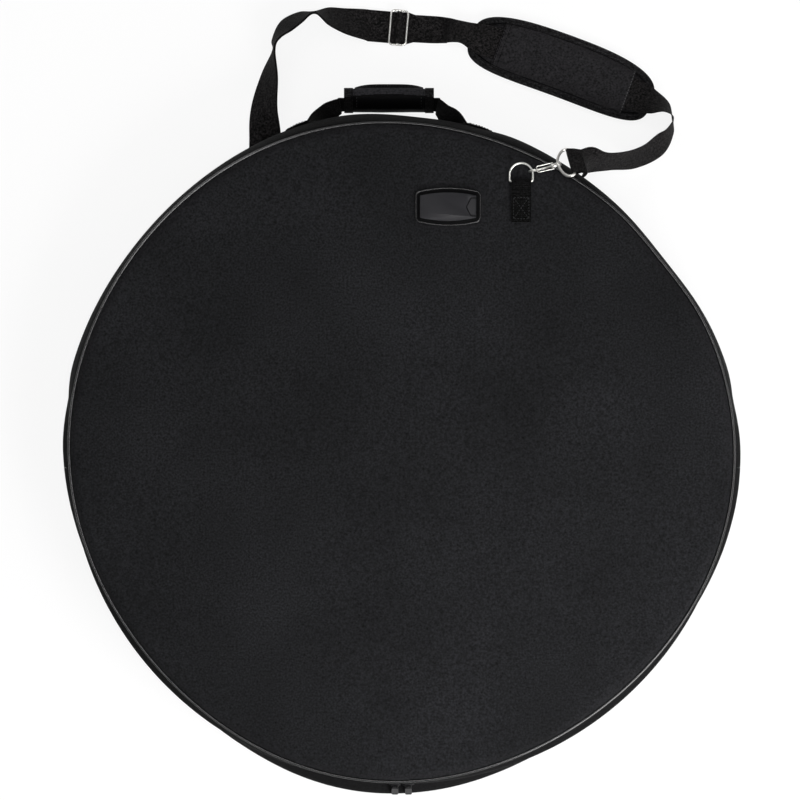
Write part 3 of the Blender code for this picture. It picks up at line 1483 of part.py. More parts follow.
def main():
    clear_scene()
    make_materials()
    make_panels()
    make_side_band()
    make_piping()
    make_zip()
    for name, side in (("left", -1), ("right", 1)):
        make_slider("zip_slider_" + name, side)
        make_pull("zip_pull_" + name, side)
    make_handle()
    make_rings()
    make_hook("front", front_hook_matrix(), front_loop_matrix())
    make_hook("back", back_hook_matrix(), back_hook_matrix())
    make_card_holder()
    make_strap()
    make_strap_slider()
    make_pad()


main()
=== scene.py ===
# %% [markdown]
# # A padded wheel bag
#
# The object is a flat, round, padded bag that carries one bicycle wheel. It lies on its back, and
# the camera looks straight down on it. The engineering model is already packed: it holds the metal
# fittings and a plain closed solid for each cloth piece. This lesson dresses that frame. Every
# cloth piece is modelled again as what it is and gets a finish made of nodes; most of them ride on
# their bodies.

# %% Load the frame
import math

import bmesh
import bpy
from mathutils import Matrix, Vector, noise


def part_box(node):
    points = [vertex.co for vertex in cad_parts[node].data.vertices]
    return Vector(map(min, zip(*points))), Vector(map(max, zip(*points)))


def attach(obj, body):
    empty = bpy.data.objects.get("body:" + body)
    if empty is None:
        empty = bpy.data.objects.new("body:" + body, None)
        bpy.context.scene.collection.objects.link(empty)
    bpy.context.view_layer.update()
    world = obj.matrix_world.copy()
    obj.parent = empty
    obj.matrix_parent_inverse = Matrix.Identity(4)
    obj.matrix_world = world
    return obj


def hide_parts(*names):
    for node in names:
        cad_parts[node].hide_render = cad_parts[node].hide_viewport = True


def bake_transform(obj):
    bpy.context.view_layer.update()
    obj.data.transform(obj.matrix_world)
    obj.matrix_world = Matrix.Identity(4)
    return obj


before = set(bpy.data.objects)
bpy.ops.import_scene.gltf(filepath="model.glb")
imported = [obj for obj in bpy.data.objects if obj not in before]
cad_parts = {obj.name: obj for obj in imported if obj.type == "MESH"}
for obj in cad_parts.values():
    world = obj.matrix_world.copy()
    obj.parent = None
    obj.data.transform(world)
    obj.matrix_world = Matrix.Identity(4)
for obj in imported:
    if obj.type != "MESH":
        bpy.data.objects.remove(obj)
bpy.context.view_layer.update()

# %% [markdown]
# ## Camera, floor and light
#
# The picture was taken from straight above, so the camera hangs three metres over the bag and
# looks down. A long lens keeps the far rim of the bag from growing. The background of the picture
# is white, which here comes from the floor's own brightness as the camera sees it, and never from
# more light on the bag. A share of plain diffuse floor is kept, so that the bag has its shadow.

# %% Camera
CAMERA_PLACE = (-0.002, 0.0597, 3.0)
FRAME_WIDTH = 0.965

camera_data = bpy.data.cameras.new("camera")
camera_data.sensor_fit = "HORIZONTAL"
camera_data.lens = camera_data.sensor_width * CAMERA_PLACE[2] / FRAME_WIDTH
camera = bpy.data.objects.new("camera", camera_data)
camera.location = CAMERA_PLACE
bpy.context.scene.collection.objects.link(camera)
bpy.context.scene.camera = camera
bpy.context.scene.view_settings.view_transform = "Standard"
print("lens in mm:", round(camera_data.lens, 1))


# %% Helpers for objects and shader nodes
def new_object(name, bm, smooth=True):
    """Turn a bmesh into an object at the origin."""
    mesh = bpy.data.meshes.new(name)
    bm.to_mesh(mesh)
    bm.free()
    if smooth:
        mesh.shade_smooth()
        mesh.set_sharp_from_angle(angle=math.radians(42))
    item = bpy.data.objects.new(name, mesh)
    bpy.context.scene.collection.objects.link(item)
    return item


def math_node(tree, operation, first, second=None, third=None):
    """A Math node whose inputs are numbers or sockets."""
    node = tree.nodes.new("ShaderNodeMath")
    node.operation = operation
    for socket, value in zip(node.inputs, (first, second, third)):
        if isinstance(value, (int, float)):
            socket.default_value = value
        elif value is not None:
            tree.links.new(value, socket)
    return node.outputs[0]


# %% Floor
FLOOR_SIZE = 60.0
FLOOR_GREY = 0.9
FLOOR_GLOW = 0.86

floor_bm = bmesh.new()
bmesh.ops.create_grid(floor_bm, x_segments=1, y_segments=1, size=FLOOR_SIZE)
floor = new_object("floor", floor_bm, smooth=False)

floor_material = bpy.data.materials.new("floor")
floor_material.use_nodes = True
tree = floor_material.node_tree
tree.nodes.clear()
floor_out = tree.nodes.new("ShaderNodeOutputMaterial")
floor_mix = tree.nodes.new("ShaderNodeMixShader")
floor_diffuse = tree.nodes.new("ShaderNodeBsdfDiffuse")
floor_glow = tree.nodes.new("ShaderNodeEmission")
path = tree.nodes.new("ShaderNodeLightPath").outputs
floor_diffuse.inputs["Color"].default_value = (FLOOR_GREY, FLOOR_GREY, FLOOR_GREY, 1)
floor_glow.inputs["Color"].default_value = (1, 1, 1, 1)
seen = math_node(tree, "MAXIMUM", path["Is Camera Ray"], path["Is Glossy Ray"])
seen = math_node(tree, "MAXIMUM", seen, path["Is Transmission Ray"])
tree.links.new(math_node(tree, "MULTIPLY", seen, FLOOR_GLOW), floor_mix.inputs["Fac"])
tree.links.new(floor_diffuse.outputs[0], floor_mix.inputs[1])
tree.links.new(floor_glow.outputs[0], floor_mix.inputs[2])
tree.links.new(floor_mix.outputs[0], floor_out.inputs["Surface"])
floor.data.materials.append(floor_material)

# %% [markdown]
# Soft lamps and a pale sky light the bag at a plain level. The nearest lamp stands at the lower
# right, where the cloth and the piping are brightest in the picture. One small lamp hangs over the
# bag beside the camera, so that every round edge shows a thin bright line along its top.


# %% Lamps and sky
def add_lamp(name, place, size, power):
    """A square soft lamp that faces the middle of the bag."""
    data = bpy.data.lights.new(name, "AREA")
    data.size = size
    data.energy = power
    lamp = bpy.data.objects.new(name, data)
    lamp.location = place
    lamp.rotation_euler = (-Vector(place)).to_track_quat("-Z", "Y").to_euler()
    bpy.context.scene.collection.objects.link(lamp)


add_lamp("main_lamp", (-1.6, 2.7, 3.2), 2.0, 38.0)
add_lamp("side_lamp", (3.0, 0.4, 2.6), 2.4, 20.0)
add_lamp("near_lamp", (0.9, -1.1, 1.05), 0.9, 38.0)
add_lamp("top_lamp", (0.0, -0.1, 3.4), 0.8, 26.0)

world = bpy.data.worlds.new("studio")
world.use_nodes = True
sky = world.node_tree.nodes["Background"]
sky.inputs["Color"].default_value = (1, 1, 1, 1)
sky.inputs["Strength"].default_value = 0.29
bpy.context.scene.world = world

# %% [markdown]
# ## Finishes
#
# Nearly every surface here is black, so what tells one cloth from another is its texture and its
# gloss. Three small shader groups do that work. A weave group draws crossing threads from a cloth's
# own flat coordinates, which are in metres. A mottle group varies colour and gloss a little, as dye
# and handling do. A rib group draws the slanted lines of strap webbing.


# %% Helpers for shader groups
def group_with(name, inputs, outputs):
    """An empty shader group with named number, vector or colour sockets."""
    tree = bpy.data.node_groups.new(name, "ShaderNodeTree")
    kinds = {"f": "NodeSocketFloat", "v": "NodeSocketVector", "c": "NodeSocketColor"}
    for label, kind, value in inputs:
        item = tree.interface.new_socket(label, in_out="INPUT", socket_type=kinds[kind])
        if value is not None:
            item.default_value = value
    for label, kind in outputs:
        tree.interface.new_socket(label, in_out="OUTPUT", socket_type=kinds[kind])
    source = tree.nodes.new("NodeGroupInput")
    target = tree.nodes.new("NodeGroupOutput")
    return tree, source, target


def scaled(tree, vector, factor):
    """A vector or colour socket times a number socket."""
    node = tree.nodes.new("ShaderNodeVectorMath")
    node.operation = "SCALE"
    tree.links.new(vector, node.inputs[0])
    tree.links.new(factor, node.inputs["Scale"])
    return node.outputs[0]


def counted(tree, source, unit):
    """The X and Y of a group's Vector, counted in the unit that it is given."""
    split = tree.nodes.new("ShaderNodeSeparateXYZ")
    tree.links.new(source.outputs["Vector"], split.inputs[0])
    return [math_node(tree, "DIVIDE", split.outputs[axis], source.outputs[unit]) for axis in "XY"]


# %% Weave, mottle and rib groups
weave, weave_in, weave_out = group_with(
    "weave", [("Vector", "v", None), ("Thread", "f", 0.0006)], [("Height", "f"), ("Shade", "f")]
)
across, along = counted(weave, weave_in, "Thread")
warp = math_node(weave, "SINE", math_node(weave, "MULTIPLY", across, math.pi))
weft = math_node(weave, "SINE", math_node(weave, "MULTIPLY", along, math.pi))
crossing = math_node(weave, "MULTIPLY", warp, weft)
weave.links.new(math_node(weave, "ABSOLUTE", crossing), weave_out.inputs["Height"])
weave.links.new(math_node(weave, "MULTIPLY_ADD", crossing, 0.5, 0.5), weave_out.inputs["Shade"])

mottle, mottle_in, mottle_out = group_with(
    "mottle",
    [
        ("Vector", "v", None),
        ("Size", "f", 0.05),
        ("Amount", "f", 0.2),
        ("Colour", "c", (0, 0, 0, 1)),
    ],
    [("Colour", "c"), ("Value", "f")],
)
per_size = math_node(mottle, "DIVIDE", 1.0, mottle_in.outputs["Size"])
cloud = mottle.nodes.new("ShaderNodeTexNoise")
cloud.inputs["Detail"].default_value = 4
cloud.inputs["Scale"].default_value = 1
mottle.links.new(scaled(mottle, mottle_in.outputs["Vector"], per_size), cloud.inputs["Vector"])
centred = math_node(mottle, "MULTIPLY_ADD", cloud.outputs["Fac"], 2.0, -1.0)
swing = math_node(mottle, "MULTIPLY", centred, mottle_in.outputs["Amount"])
factor = math_node(mottle, "MAXIMUM", math_node(mottle, "ADD", swing, 1.0), 0.1)
tint = scaled(mottle, mottle_in.outputs["Colour"], factor)
mottle.links.new(tint, mottle_out.inputs["Colour"])
mottle.links.new(cloud.outputs["Fac"], mottle_out.inputs["Value"])

rib, rib_in, rib_out = group_with(
    "webbing_rib",
    [("Vector", "v", None), ("Pitch", "f", 0.0016)],
    [("Height", "f"), ("Shade", "f")],
)
rib_u, rib_v = counted(rib, rib_in, "Pitch")
slant = math_node(rib, "ADD", rib_u, math_node(rib, "PINGPONG", rib_v, 2.0))
wave = math_node(rib, "SINE", math_node(rib, "MULTIPLY", slant, math.tau))
row_wave = math_node(rib, "SINE", math_node(rib, "MULTIPLY", rib_v, math.pi))
rows = math_node(rib, "ABSOLUTE", row_wave)
rib_height = math_node(rib, "MULTIPLY", math_node(rib, "MULTIPLY_ADD", wave, 0.35, 0.65), rows)
rib.links.new(rib_height, rib_out.inputs["Height"])
rib.links.new(rib_height, rib_out.inputs["Shade"])
print("shader groups:", [group.name for group in bpy.data.node_groups])


# %% [markdown]
# A finish is a Principled shader with those groups plugged in. `cloth_finish` takes the group for
# its thread pattern and how deep it is. Constant values, such as the sheen, sit on the shader's own
# sockets.


# %% Finish makers
SPECKLE_SIZE = 0.0024
CLOUD_SIZE = 0.11
CLOUD_AMOUNT = 0.5
TONE_SIZE = 0.03
CLOTH_SHEEN = 0.015
SHEEN_ROUGHNESS = 0.5
COAT_ROUGHNESS = 0.12


def principled(name, roughness, metallic=0.0):
    material = bpy.data.materials.new(name)
    material.use_nodes = True
    shader = material.node_tree.nodes["Principled BSDF"]
    shader.inputs["Roughness"].default_value = roughness
    shader.inputs["Metallic"].default_value = metallic
    return material, shader


def place_group(tree, group, values):
    node = tree.nodes.new("ShaderNodeGroup")
    node.node_tree = group
    for label, value in values.items():
        if isinstance(value, bpy.types.NodeSocket):
            tree.links.new(value, node.inputs[label])
        else:
            node.inputs[label].default_value = value
    return node


def bump_from(tree, shader, layers):
    """Chain Bump nodes for (height socket, distance) pairs into the shader's Normal."""
    normal = None
    for height, distance in layers:
        bump = tree.nodes.new("ShaderNodeBump")
        bump.inputs["Distance"].default_value = distance
        tree.links.new(height, bump.inputs["Height"])
        if normal is not None:
            tree.links.new(normal, bump.inputs["Normal"])
        normal = bump.outputs["Normal"]
    tree.links.new(normal, shader.inputs["Normal"])


def mottled(tree, place, size, amount, colour=None):
    """The mottle group at a place, with a colour that is a socket, a value or left alone."""
    values = {"Vector": place, "Size": size, "Amount": amount}
    if colour is not None:
        values["Colour"] = colour
    return place_group(tree, mottle, values).outputs


def cloth_finish(
    name, color, roughness, pattern, pitch, depth, shade=0.35, speckle=2.2, gloss=0.1
):
    """A cloth whose threads follow its own flat coordinates, in metres."""
    material, shader = principled(name, roughness)
    tree = material.node_tree
    coordinates = tree.nodes.new("ShaderNodeTexCoord").outputs
    label = "Thread" if pattern is weave else "Pitch"
    threads = place_group(tree, pattern, {"Vector": coordinates["UV"], label: pitch}).outputs
    place = coordinates["Object"]
    clouds = mottled(tree, place, CLOUD_SIZE, CLOUD_AMOUNT, (*color, 1))
    grain = mottled(tree, place, SPECKLE_SIZE, speckle, clouds["Colour"])
    level = math_node(tree, "MULTIPLY_ADD", threads["Shade"], shade, 1 - shade / 2)
    tree.links.new(scaled(tree, grain["Colour"], level), shader.inputs["Base Color"])
    shader.inputs["Sheen Weight"].default_value = CLOTH_SHEEN
    shader.inputs["Sheen Roughness"].default_value = SHEEN_ROUGHNESS
    shader.inputs["Specular IOR Level"].default_value = gloss
    bump_from(tree, shader, [(grain["Value"], depth), (threads["Height"], depth)])
    return material


def smooth_finish(
    name, color, roughness, grain_size, depth, metallic=0.0, wear=0.12, coat=0.0, gloss=0.5
):
    """Vinyl, plastic or metal: plain colour with fine grain and slightly uneven gloss."""
    material, shader = principled(name, roughness, metallic)
    tree = material.node_tree
    place = tree.nodes.new("ShaderNodeTexCoord").outputs["Object"]
    tone = mottled(tree, place, TONE_SIZE, wear, (*color, 1))
    grain = mottled(tree, place, grain_size, 1.0)
    tree.links.new(tone["Colour"], shader.inputs["Base Color"])
    dull = math_node(tree, "MULTIPLY_ADD", grain["Value"], roughness * 0.4, roughness * 0.8)
    tree.links.new(dull, shader.inputs["Roughness"])
    shader.inputs["Coat Weight"].default_value = coat
    shader.inputs["Coat Roughness"].default_value = COAT_ROUGHNESS
    shader.inputs["Specular IOR Level"].default_value = gloss
    bump_from(tree, shader, [(grain["Value"], depth)])
    return material


# %% Finishes
BLACK = (0.0088, 0.0088, 0.0098)
CLOTHS = {
    "black_cloth": (BLACK, 0.85, weave, 0.00062, 0.00014, {"speckle": 1.7}),
    # A darker copy of the black cloth, as painted shade on the side band
    "band_cloth": ((0.0026, 0.0026, 0.0028), 0.85, weave, 0.00062, 0.00014, {}),
    "black_lining": ((0.014, 0.014, 0.016), 0.7, weave, 0.0004, 0.00006, {}),
    "black_webbing": (
        (0.009, 0.0082, 0.0084), 0.85, rib, 0.0019, 0.0006, {"shade": 1.2, "speckle": 4.2}
    ),
    "dark_webbing": (
        (0.003, 0.0029, 0.003),
        0.8,
        rib,
        0.0024,
        0.0006,
        {"shade": 1.2, "speckle": 3.6, "gloss": 0.05},
    ),
    # A lighter cloth that paints the light on the grip's upper side
    "grip_cloth": (
        (0.025, 0.0245, 0.027), 0.8, weave, 0.0009, 0.0002, {"speckle": 1.6, "gloss": 0.06}
    ),
    "black_zip": ((0.008, 0.008, 0.009), 0.8, weave, 0.0008, 0.0001, {}),
    "pad_cloth": ((0.0145, 0.0138, 0.015), 0.85, weave, 0.0009, 0.0002, {"speckle": 1.8}),
    # The pad's edge tape; it also paints the light on the upper side of the grip's bindings
    "pad_tape": (
        (0.0098, 0.0096, 0.0102), 0.85, rib, 0.0024, 0.0006, {"shade": 1.2, "speckle": 3.2}
    ),
}
SMOOTH = {
    "grey_foam": ((0.1, 0.1, 0.105), 0.95, 0.0012, 0.0003, {}),
    "black_piping": ((0.003, 0.003, 0.0033), 0.24, 0.004, 0.00002, {}),
    "black_vinyl": ((0.0012, 0.0012, 0.0014), 0.5, 0.0009, 0.00012, {"gloss": 0.04}),
    "clear_window": ((0.016, 0.0158, 0.018), 0.35, 0.02, 0.0004, {"gloss": 0.2}),
    "dark_card": ((0.02, 0.0198, 0.0215), 0.6, 0.002, 0.00003, {"gloss": 0.2}),
    "black_metal": ((0.004, 0.004, 0.0045), 0.5, 0.001, 0.00002, {"gloss": 0.2}),
    "zip_teeth": ((0.01, 0.01, 0.011), 0.35, 0.001, 0.00002, {}),
    "bright_nickel": (
        (0.66, 0.65, 0.62), 0.3, 0.012, 0.000004, {"metallic": 1.0, "wear": 0.06}
    ),
    "thread": ((0.02, 0.02, 0.021), 0.6, 0.0005, 0.00005, {"gloss": 0.2}),
    "light_thread": ((0.06, 0.058, 0.06), 0.6, 0.0005, 0.00005, {"gloss": 0.2}),
}
finish = {}
for maker, table in ((cloth_finish, CLOTHS), (smooth_finish, SMOOTH)):
    for name, (*values, extra) in table.items():
        finish[name] = maker(name, *values, **extra)
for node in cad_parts.values():
    slot_name = node.material_slots[0].material.name.split(".")[0] if node.material_slots else ""
    chosen = finish.get(slot_name, finish["black_cloth"])
    node.data.materials.clear()
    node.data.materials.append(chosen)
print("finishes:", len(finish))

# %% [markdown]
# ## The bag's outline
#
# The bag isn't a true circle. Its piped seam is a circle with a few slow waves in its radius, and
# the side band swells past it. These are the engineering model's own sizes, so the new cloth lies
# where the plain solids do, apart from a few local corrections of some millimetres.

# %% Outline sizes
BAG_RADIUS = 0.3856
BAG_DEPTH = 0.088
GAP = 0.0003
OUTLINE_COS = (-0.005, 0.005, 0.007, 0.006, -0.002)
OUTLINE_SIN = (0.0, -0.007, 0.003, 0.0, -0.001)
SWELL = 0.0122
SWELL_COS = (0.0, -0.23, 0.0, 0.26, 0.0)
SWELL_SIN = (0.0, 0.0, 0.06, -0.07, 0.0)
LOWER_SWELL_EXTRA = 0.0022
# Local corrections, each a place, a height and a reach: a flat stretch of the seam at the upper
# right, a fuller crest below, and a dent at the handle's sewn end
SEAM_FLAT = (36.0, -0.0045, 9.5)
LOW_CREST = (265.0, 0.0022, 20.0)
ANCHOR_DENT = (76.3, -0.0024, 4.0)
HANDLE_DIP = 0.0059
HANDLE_DIP_DEG = 86.5
HANDLE_DIP_REACH_DEG = 9.5
BACK_BEAD = 0.007
FRONT_BEAD = 0.084
SIDE_LOW = 0.0093
SIDE_HIGH = 0.0817
ZIP_RADIUS = 0.3923
ZIP_HEIGHT = 0.058
ZIP_REACH = 0.012
CREST_HEIGHT = 0.028
SIDE_CHANGE_DEG = 15.0
CHORD_DEG = 3.0
CHORD_Y = -ZIP_RADIUS * math.sin(math.radians(CHORD_DEG))


def waves(angle, cos_part, sin_part):
    total = 0.0
    for order, (cos_share, sin_share) in enumerate(zip(cos_part, sin_part), start=1):
        total += cos_share * math.cos(order * angle) + sin_share * math.sin(order * angle)
    return total


def local_bump(degrees, place, height, reach):
    away = (degrees - place + 180) % 360 - 180
    return height * math.exp(-((away / reach) ** 2))


def seam_radius(degrees):
    wave = waves(math.radians(degrees), OUTLINE_COS, OUTLINE_SIN)
    return BAG_RADIUS * (1 + wave) + local_bump(degrees, *SEAM_FLAT)


def swell(degrees):
    """How far the side swells past the seam. The sewn handle flattens it between its ends."""
    wave = waves(math.radians(degrees), SWELL_COS, SWELL_SIN)
    dip = local_bump(degrees, HANDLE_DIP_DEG, -HANDLE_DIP, HANDLE_DIP_REACH_DEG)
    corrections = local_bump(degrees, *LOW_CREST) + local_bump(degrees, *ANCHOR_DENT)
    return SWELL * (1 + wave) + dip + corrections


def blend(low, high, share):
    return low + (high - low) * share


def smooth_share(share):
    share = min(max(share, 0.0), 1.0)
    return share * share * (3 - 2 * share)


def curve_through(knots, place):
    """A smooth value at place from (place, value) knots."""
    if place <= knots[0][0]:
        return knots[0][1]
    for (low, start), (high, end) in zip(knots, knots[1:]):
        if place <= high:
            return blend(start, end, smooth_share((place - low) / (high - low)))
    return knots[-1][1]


def lower_side(degrees, height):
    """The band by the zip: a swell near the floor, then flat where the zip runs."""
    seam = seam_radius(degrees)
    crest = seam + swell(degrees) + LOWER_SWELL_EXTRA
    zip_low, zip_high = ZIP_HEIGHT - ZIP_REACH, ZIP_HEIGHT + ZIP_REACH
    if height < CREST_HEIGHT:
        rise = (max(height, SIDE_LOW) - SIDE_LOW) / (CREST_HEIGHT - SIDE_LOW)
        return blend(seam, crest, math.sin(rise * math.pi / 2) ** 0.8)
    if height < zip_low:
        share = smooth_share((height - CREST_HEIGHT) / (zip_low - CREST_HEIGHT))
        return blend(crest, ZIP_RADIUS, share)
    if height < zip_high:
        return ZIP_RADIUS
    fall = min((height - zip_high) / (SIDE_HIGH - zip_high), 1.0)
    return blend(seam, ZIP_RADIUS, max(math.cos(fall * math.pi / 2), 0.0) ** 1.5)


def upper_side(degrees, height):
    share = min(max((height - SIDE_LOW) / (SIDE_HIGH - SIDE_LOW), 0.0), 1.0)
    hump = math.sin(math.pi * share) ** 0.6 if 0 < share < 1 else 0.0
    return seam_radius(degrees) + swell(degrees) * hump


def side_radius(degrees, height):
    turn = (degrees + 90) % 360 - 90
    share = smooth_share(min(turn, 180 - turn) / SIDE_CHANGE_DEG)
    return blend(lower_side(degrees, height), upper_side(degrees, height), share)


def polar(radius, degrees, height=0.0):
    turn = math.radians(degrees)
    return Vector((radius * math.cos(turn), radius * math.sin(turn), height))


def spread(start, end, count):
    return [blend(start, end, index / count) for index in range(count + 1)]


def arc(start, end, count):
    """The cosine and sine of each angle between two angles in degrees."""
    turns = [math.radians(degrees) for degrees in spread(start, end, count)]
    return [(math.cos(turn), math.sin(turn)) for turn in turns]


print("seam radius at the top in mm:", round(seam_radius(90) * 1000, 1))


# %% [markdown]
# ## Cloth sheets
#
# Each cloth piece starts as a flat grid of quads. A `place` rule moves the grid's corners to the
# surface, and an extrusion turns the sheet into a closed solid. The grid's own rows and columns
# give the cloth its flat coordinates, so that the weave runs with the piece.


# %% Sheet helpers
MERGE_DISTANCE = 0.00001


def sheet(columns, rows, place, flat, thick=None, closed=False):
    """A grid moved to place(column, row), with flat(column, row) as its flat coordinates in
    metres. thick(point) is the shift to its other side, and closed joins the ends."""
    bm = bmesh.new()
    bmesh.ops.create_grid(bm, x_segments=columns, y_segments=rows, size=1, calc_uvs=True)
    layer = bm.loops.layers.uv.verify()
    for face in bm.faces:
        for loop in face.loops:
            column = (loop.vert.co.x + 1) * columns / 2
            row = (loop.vert.co.y + 1) * rows / 2
            loop[layer].uv = flat(column, row)
    for vert in bm.verts:
        column = round((vert.co.x + 1) * columns / 2)
        row = round((vert.co.y + 1) * rows / 2)
        vert.co = place(column, row)
    if closed:
        bmesh.ops.remove_doubles(bm, verts=bm.verts[:], dist=MERGE_DISTANCE)
    if thick is not None:
        thicken(bm, thick)
    bmesh.ops.recalc_face_normals(bm, faces=bm.faces[:])
    return bm


def thicken(bm, shift, inner_material=None):
    """Close a sheet into a solid whose other side is moved by shift(point)."""
    result = bmesh.ops.extrude_face_region(bm, geom=bm.faces[:])
    for item in result["geom"]:
        if isinstance(item, bmesh.types.BMVert):
            item.co += shift(item.co.copy())
        elif isinstance(item, bmesh.types.BMFace) and inner_material is not None:
            item.material_index = inner_material
    bmesh.ops.recalc_face_normals(bm, faces=bm.faces[:])


def bevel(bm, edges, width, segments=2):
    bmesh.ops.bevel(
        bm,
        geom=edges,
        offset=width,
        affect="EDGES",
        segments=segments,
        profile=0.5,
        material=-1,
    )


def soften_edges(bm, width):
    """Round the sharp edges of a thick sheet or a block."""
    bevel(bm, [edge for edge in bm.edges if edge.calc_face_angle(0) > 1], width)
    return bm


def close_ends(bm):
    """Cap the open ends of a swept profile."""
    ends = [edge for edge in bm.edges if edge.is_boundary]
    if ends:
        bmesh.ops.holes_fill(bm, edges=ends, sides=0)
    bmesh.ops.recalc_face_normals(bm, faces=bm.faces[:])
    return bm


def flat_from_above(bm):
    """Each corner's own x and y are its flat coordinates."""
    layer = bm.loops.layers.uv.verify()
    for face in bm.faces:
        for loop in face.loops:
            loop[layer].uv = loop.vert.co.xy


def ripple(x, y, z, size):
    """Smooth noise from -1 to 1 whose bumps are about size across."""
    return noise.noise(Vector((x, y, z)) / size)


def finish_piece(item, body, slot_name, *nodes, materials=None):
    """Give a piece its finish, its body and the engineering nodes that it stands for. A piece that
    is given None has no body."""
    for name in materials or (slot_name,):
        item.data.materials.append(finish[name])
    if body is not None:
        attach(item, body)
    if nodes:
        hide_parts(*nodes)
    return item


# %% [markdown]
# ## Front and back panels
#
# A padded panel is a sandwich of cloth, foam and lining. It looks flat, but it isn't: the foam
# rounds over at the seam, the sewing draws small puckers in from the piping, and slow bumps run
# over the middle. The disc's rings crowd together towards the rim, where those puckers are.
#
# The lower half of the front opens as a flap. Cloth has no seam where it folds, so the cover is one
# sheet, with extra rows along the fold line, and it is given no body.

# %% Panel sizes
PANEL_SPOKES = 720
COVER_THICKNESS = 0.0046
LINING_THICKNESS = 0.0008
SEAM_INSET = 0.0019
FOLD_REACH = 0.016
PUCKER_REACH = 0.009
# Shares of the radius: wide rings in the middle, narrow ones by the seam
RING_SHARES = spread(0.0, 0.86, 30) + spread(0.86, 0.96, 10)[1:] + spread(0.96, 1.0, 12)[1:]


def pucker(degrees, distance, reach, height):
    """Small radial gathers that fade with the distance from a seam."""
    fade = math.exp(-distance / reach)
    turn = math.radians(degrees)
    at = Vector((math.cos(turn), math.sin(turn), 0.3)) * 14
    wave = noise.noise(at * 2.2) + 0.6 * noise.noise(at * 4.1)
    return height * fade * wave


def disc(height, thickness, fold=False):
    """A round sheet with height(x, y, degrees, distance to the seam)."""
    count = len(RING_SHARES) - 1

    def place(column, row):
        degrees = 360 * column / PANEL_SPOKES
        rim = seam_radius(degrees) - SEAM_INSET
        point = polar(rim * RING_SHARES[row], degrees)
        point.z = height(point.x, point.y, degrees, rim * (1 - RING_SHARES[row]))
        return point

    bm = sheet(PANEL_SPOKES, count, place, lambda column, row: (0, 0), closed=True)
    if fold:
        for step in range(-1, 8):
            geometry = bm.verts[:] + bm.edges[:] + bm.faces[:]
            cut = (0, CHORD_Y - step * FOLD_REACH / 6, 0)
            bmesh.ops.bisect_plane(
                bm, geom=geometry, dist=MERGE_DISTANCE, plane_co=cut, plane_no=(0, 1, 0)
            )
    flat_from_above(bm)
    thicken(bm, lambda point: Vector((0, 0, thickness)), inner_material=1)
    return bm


def front_top(x, y, degrees, distance):
    """Height of the front cover's outer face."""
    bulge = 0.0014 * ripple(x, y, 0.1, 0.16) + 0.0006 * ripple(x, y, 0.7, 0.05)
    calm = smooth_share(distance / 0.02)
    edge = -0.0034 * math.exp(-((distance / 0.0045) ** 1.3))
    gather = pucker(degrees, distance, PUCKER_REACH, 0.0005) * (1 - 0.5 * calm)
    return BAG_DEPTH + edge + bulge * calm + gather


COVER_LOOKS = ("black_cloth", "grey_foam")
LINING_LOOKS = ("black_lining", "black_lining")
front_cover = new_object("front_cover", disc(front_top, -COVER_THICKNESS, fold=True))
front_nodes = ("front_panel", "front_panel_foam", "flap_panel", "flap_panel_foam")
finish_piece(front_cover, None, "black_cloth", *front_nodes, materials=COVER_LOOKS)
print("front cover:", len(front_cover.data.polygons), "faces")


# %% Front lining
def lining_top(*place):
    return front_top(*place) - COVER_THICKNESS - GAP


front_lining = new_object("front_lining", disc(lining_top, -LINING_THICKNESS, fold=True))
lining_nodes = ("front_panel_lining", "flap_panel_lining")
finish_piece(front_lining, None, "black_lining", *lining_nodes, materials=LINING_LOOKS)
for panel in (front_cover, front_lining):
    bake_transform(panel)

# %% [markdown]
# The back panel lies on the floor. It is flat apart from its rim, which curls up to the seam, and a
# soft dent where the strap's hook and D-ring are pressed into the padding from below.

# %% Back panel
BACK_X = -0.428 * BAG_RADIUS
DENT_HALF = 0.0251
DENT_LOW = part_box("back_ring_tab")[0].y - 0.006
DENT_HIGH = 0.3129
DENT_DEPTH = 0.014
DENT_SLOPE = 0.037
DENT_OPEN_SHARE = 0.38
# (share of the way, share of the height) for the dent's sides and for the rim's curl
DENT_SIDE = ((0.0, 1.0), (0.5, 0.55), (1.0, 0.0))
RIM_CURL = ((0.85, 0.0), (0.93, 0.002), (1.0, 0.005))


def dent(x, y):
    """Height of the hollow over the back hook."""
    away = max(abs(x - BACK_X) - DENT_HALF, 0.0) / DENT_SLOPE
    across_share = curve_through(DENT_SIDE, away)
    along_share = 1.0
    if y < DENT_LOW:
        along_share = 1 - smooth_share((DENT_LOW - y) / DENT_SLOPE)
    if y > DENT_HIGH:
        along_share = max(1 - (y - DENT_HIGH) / DENT_SLOPE, DENT_OPEN_SHARE)
    return DENT_DEPTH * across_share * along_share


def back_bottom(x, y, degrees, distance):
    """Height of the back cover's outer face over the floor."""
    rim = seam_radius(degrees) - SEAM_INSET
    share = 1 - distance / rim
    curl = curve_through(RIM_CURL, share)
    near_rim = smooth_share((share - 0.9) / 0.05)
    gather = abs(pucker(degrees, distance, PUCKER_REACH, 0.0004)) * near_rim
    return max(curl + gather, dent(x, y))


back_cover = new_object("back_cover", disc(back_bottom, COVER_THICKNESS))
back_nodes = ("back_panel", "back_panel_foam")
finish_piece(back_cover, "bag", "black_cloth", *back_nodes, materials=COVER_LOOKS)


def back_lining_bottom(*place):
    return back_bottom(*place) + COVER_THICKNESS + GAP


back_lining = new_object("back_lining", disc(back_lining_bottom, LINING_THICKNESS))
finish_piece(back_lining, "bag", "black_lining", "back_panel_lining", materials=LINING_LOOKS)
print("dent from y", round(DENT_LOW, 3), "to", round(DENT_HIGH, 3))

# %% [markdown]
# ## Side band
#
# The side band is cut longer than the seam and swells out past it. Over the top half it is one
# plain strip. Below, the zip divides it into a wide strip that stays with the bag and a narrow one
# that goes with the flap. Padding lies behind the wide strips, so each is one thick closed sheet
# with lining on its inner face. The strips beside the zip are cloth alone.

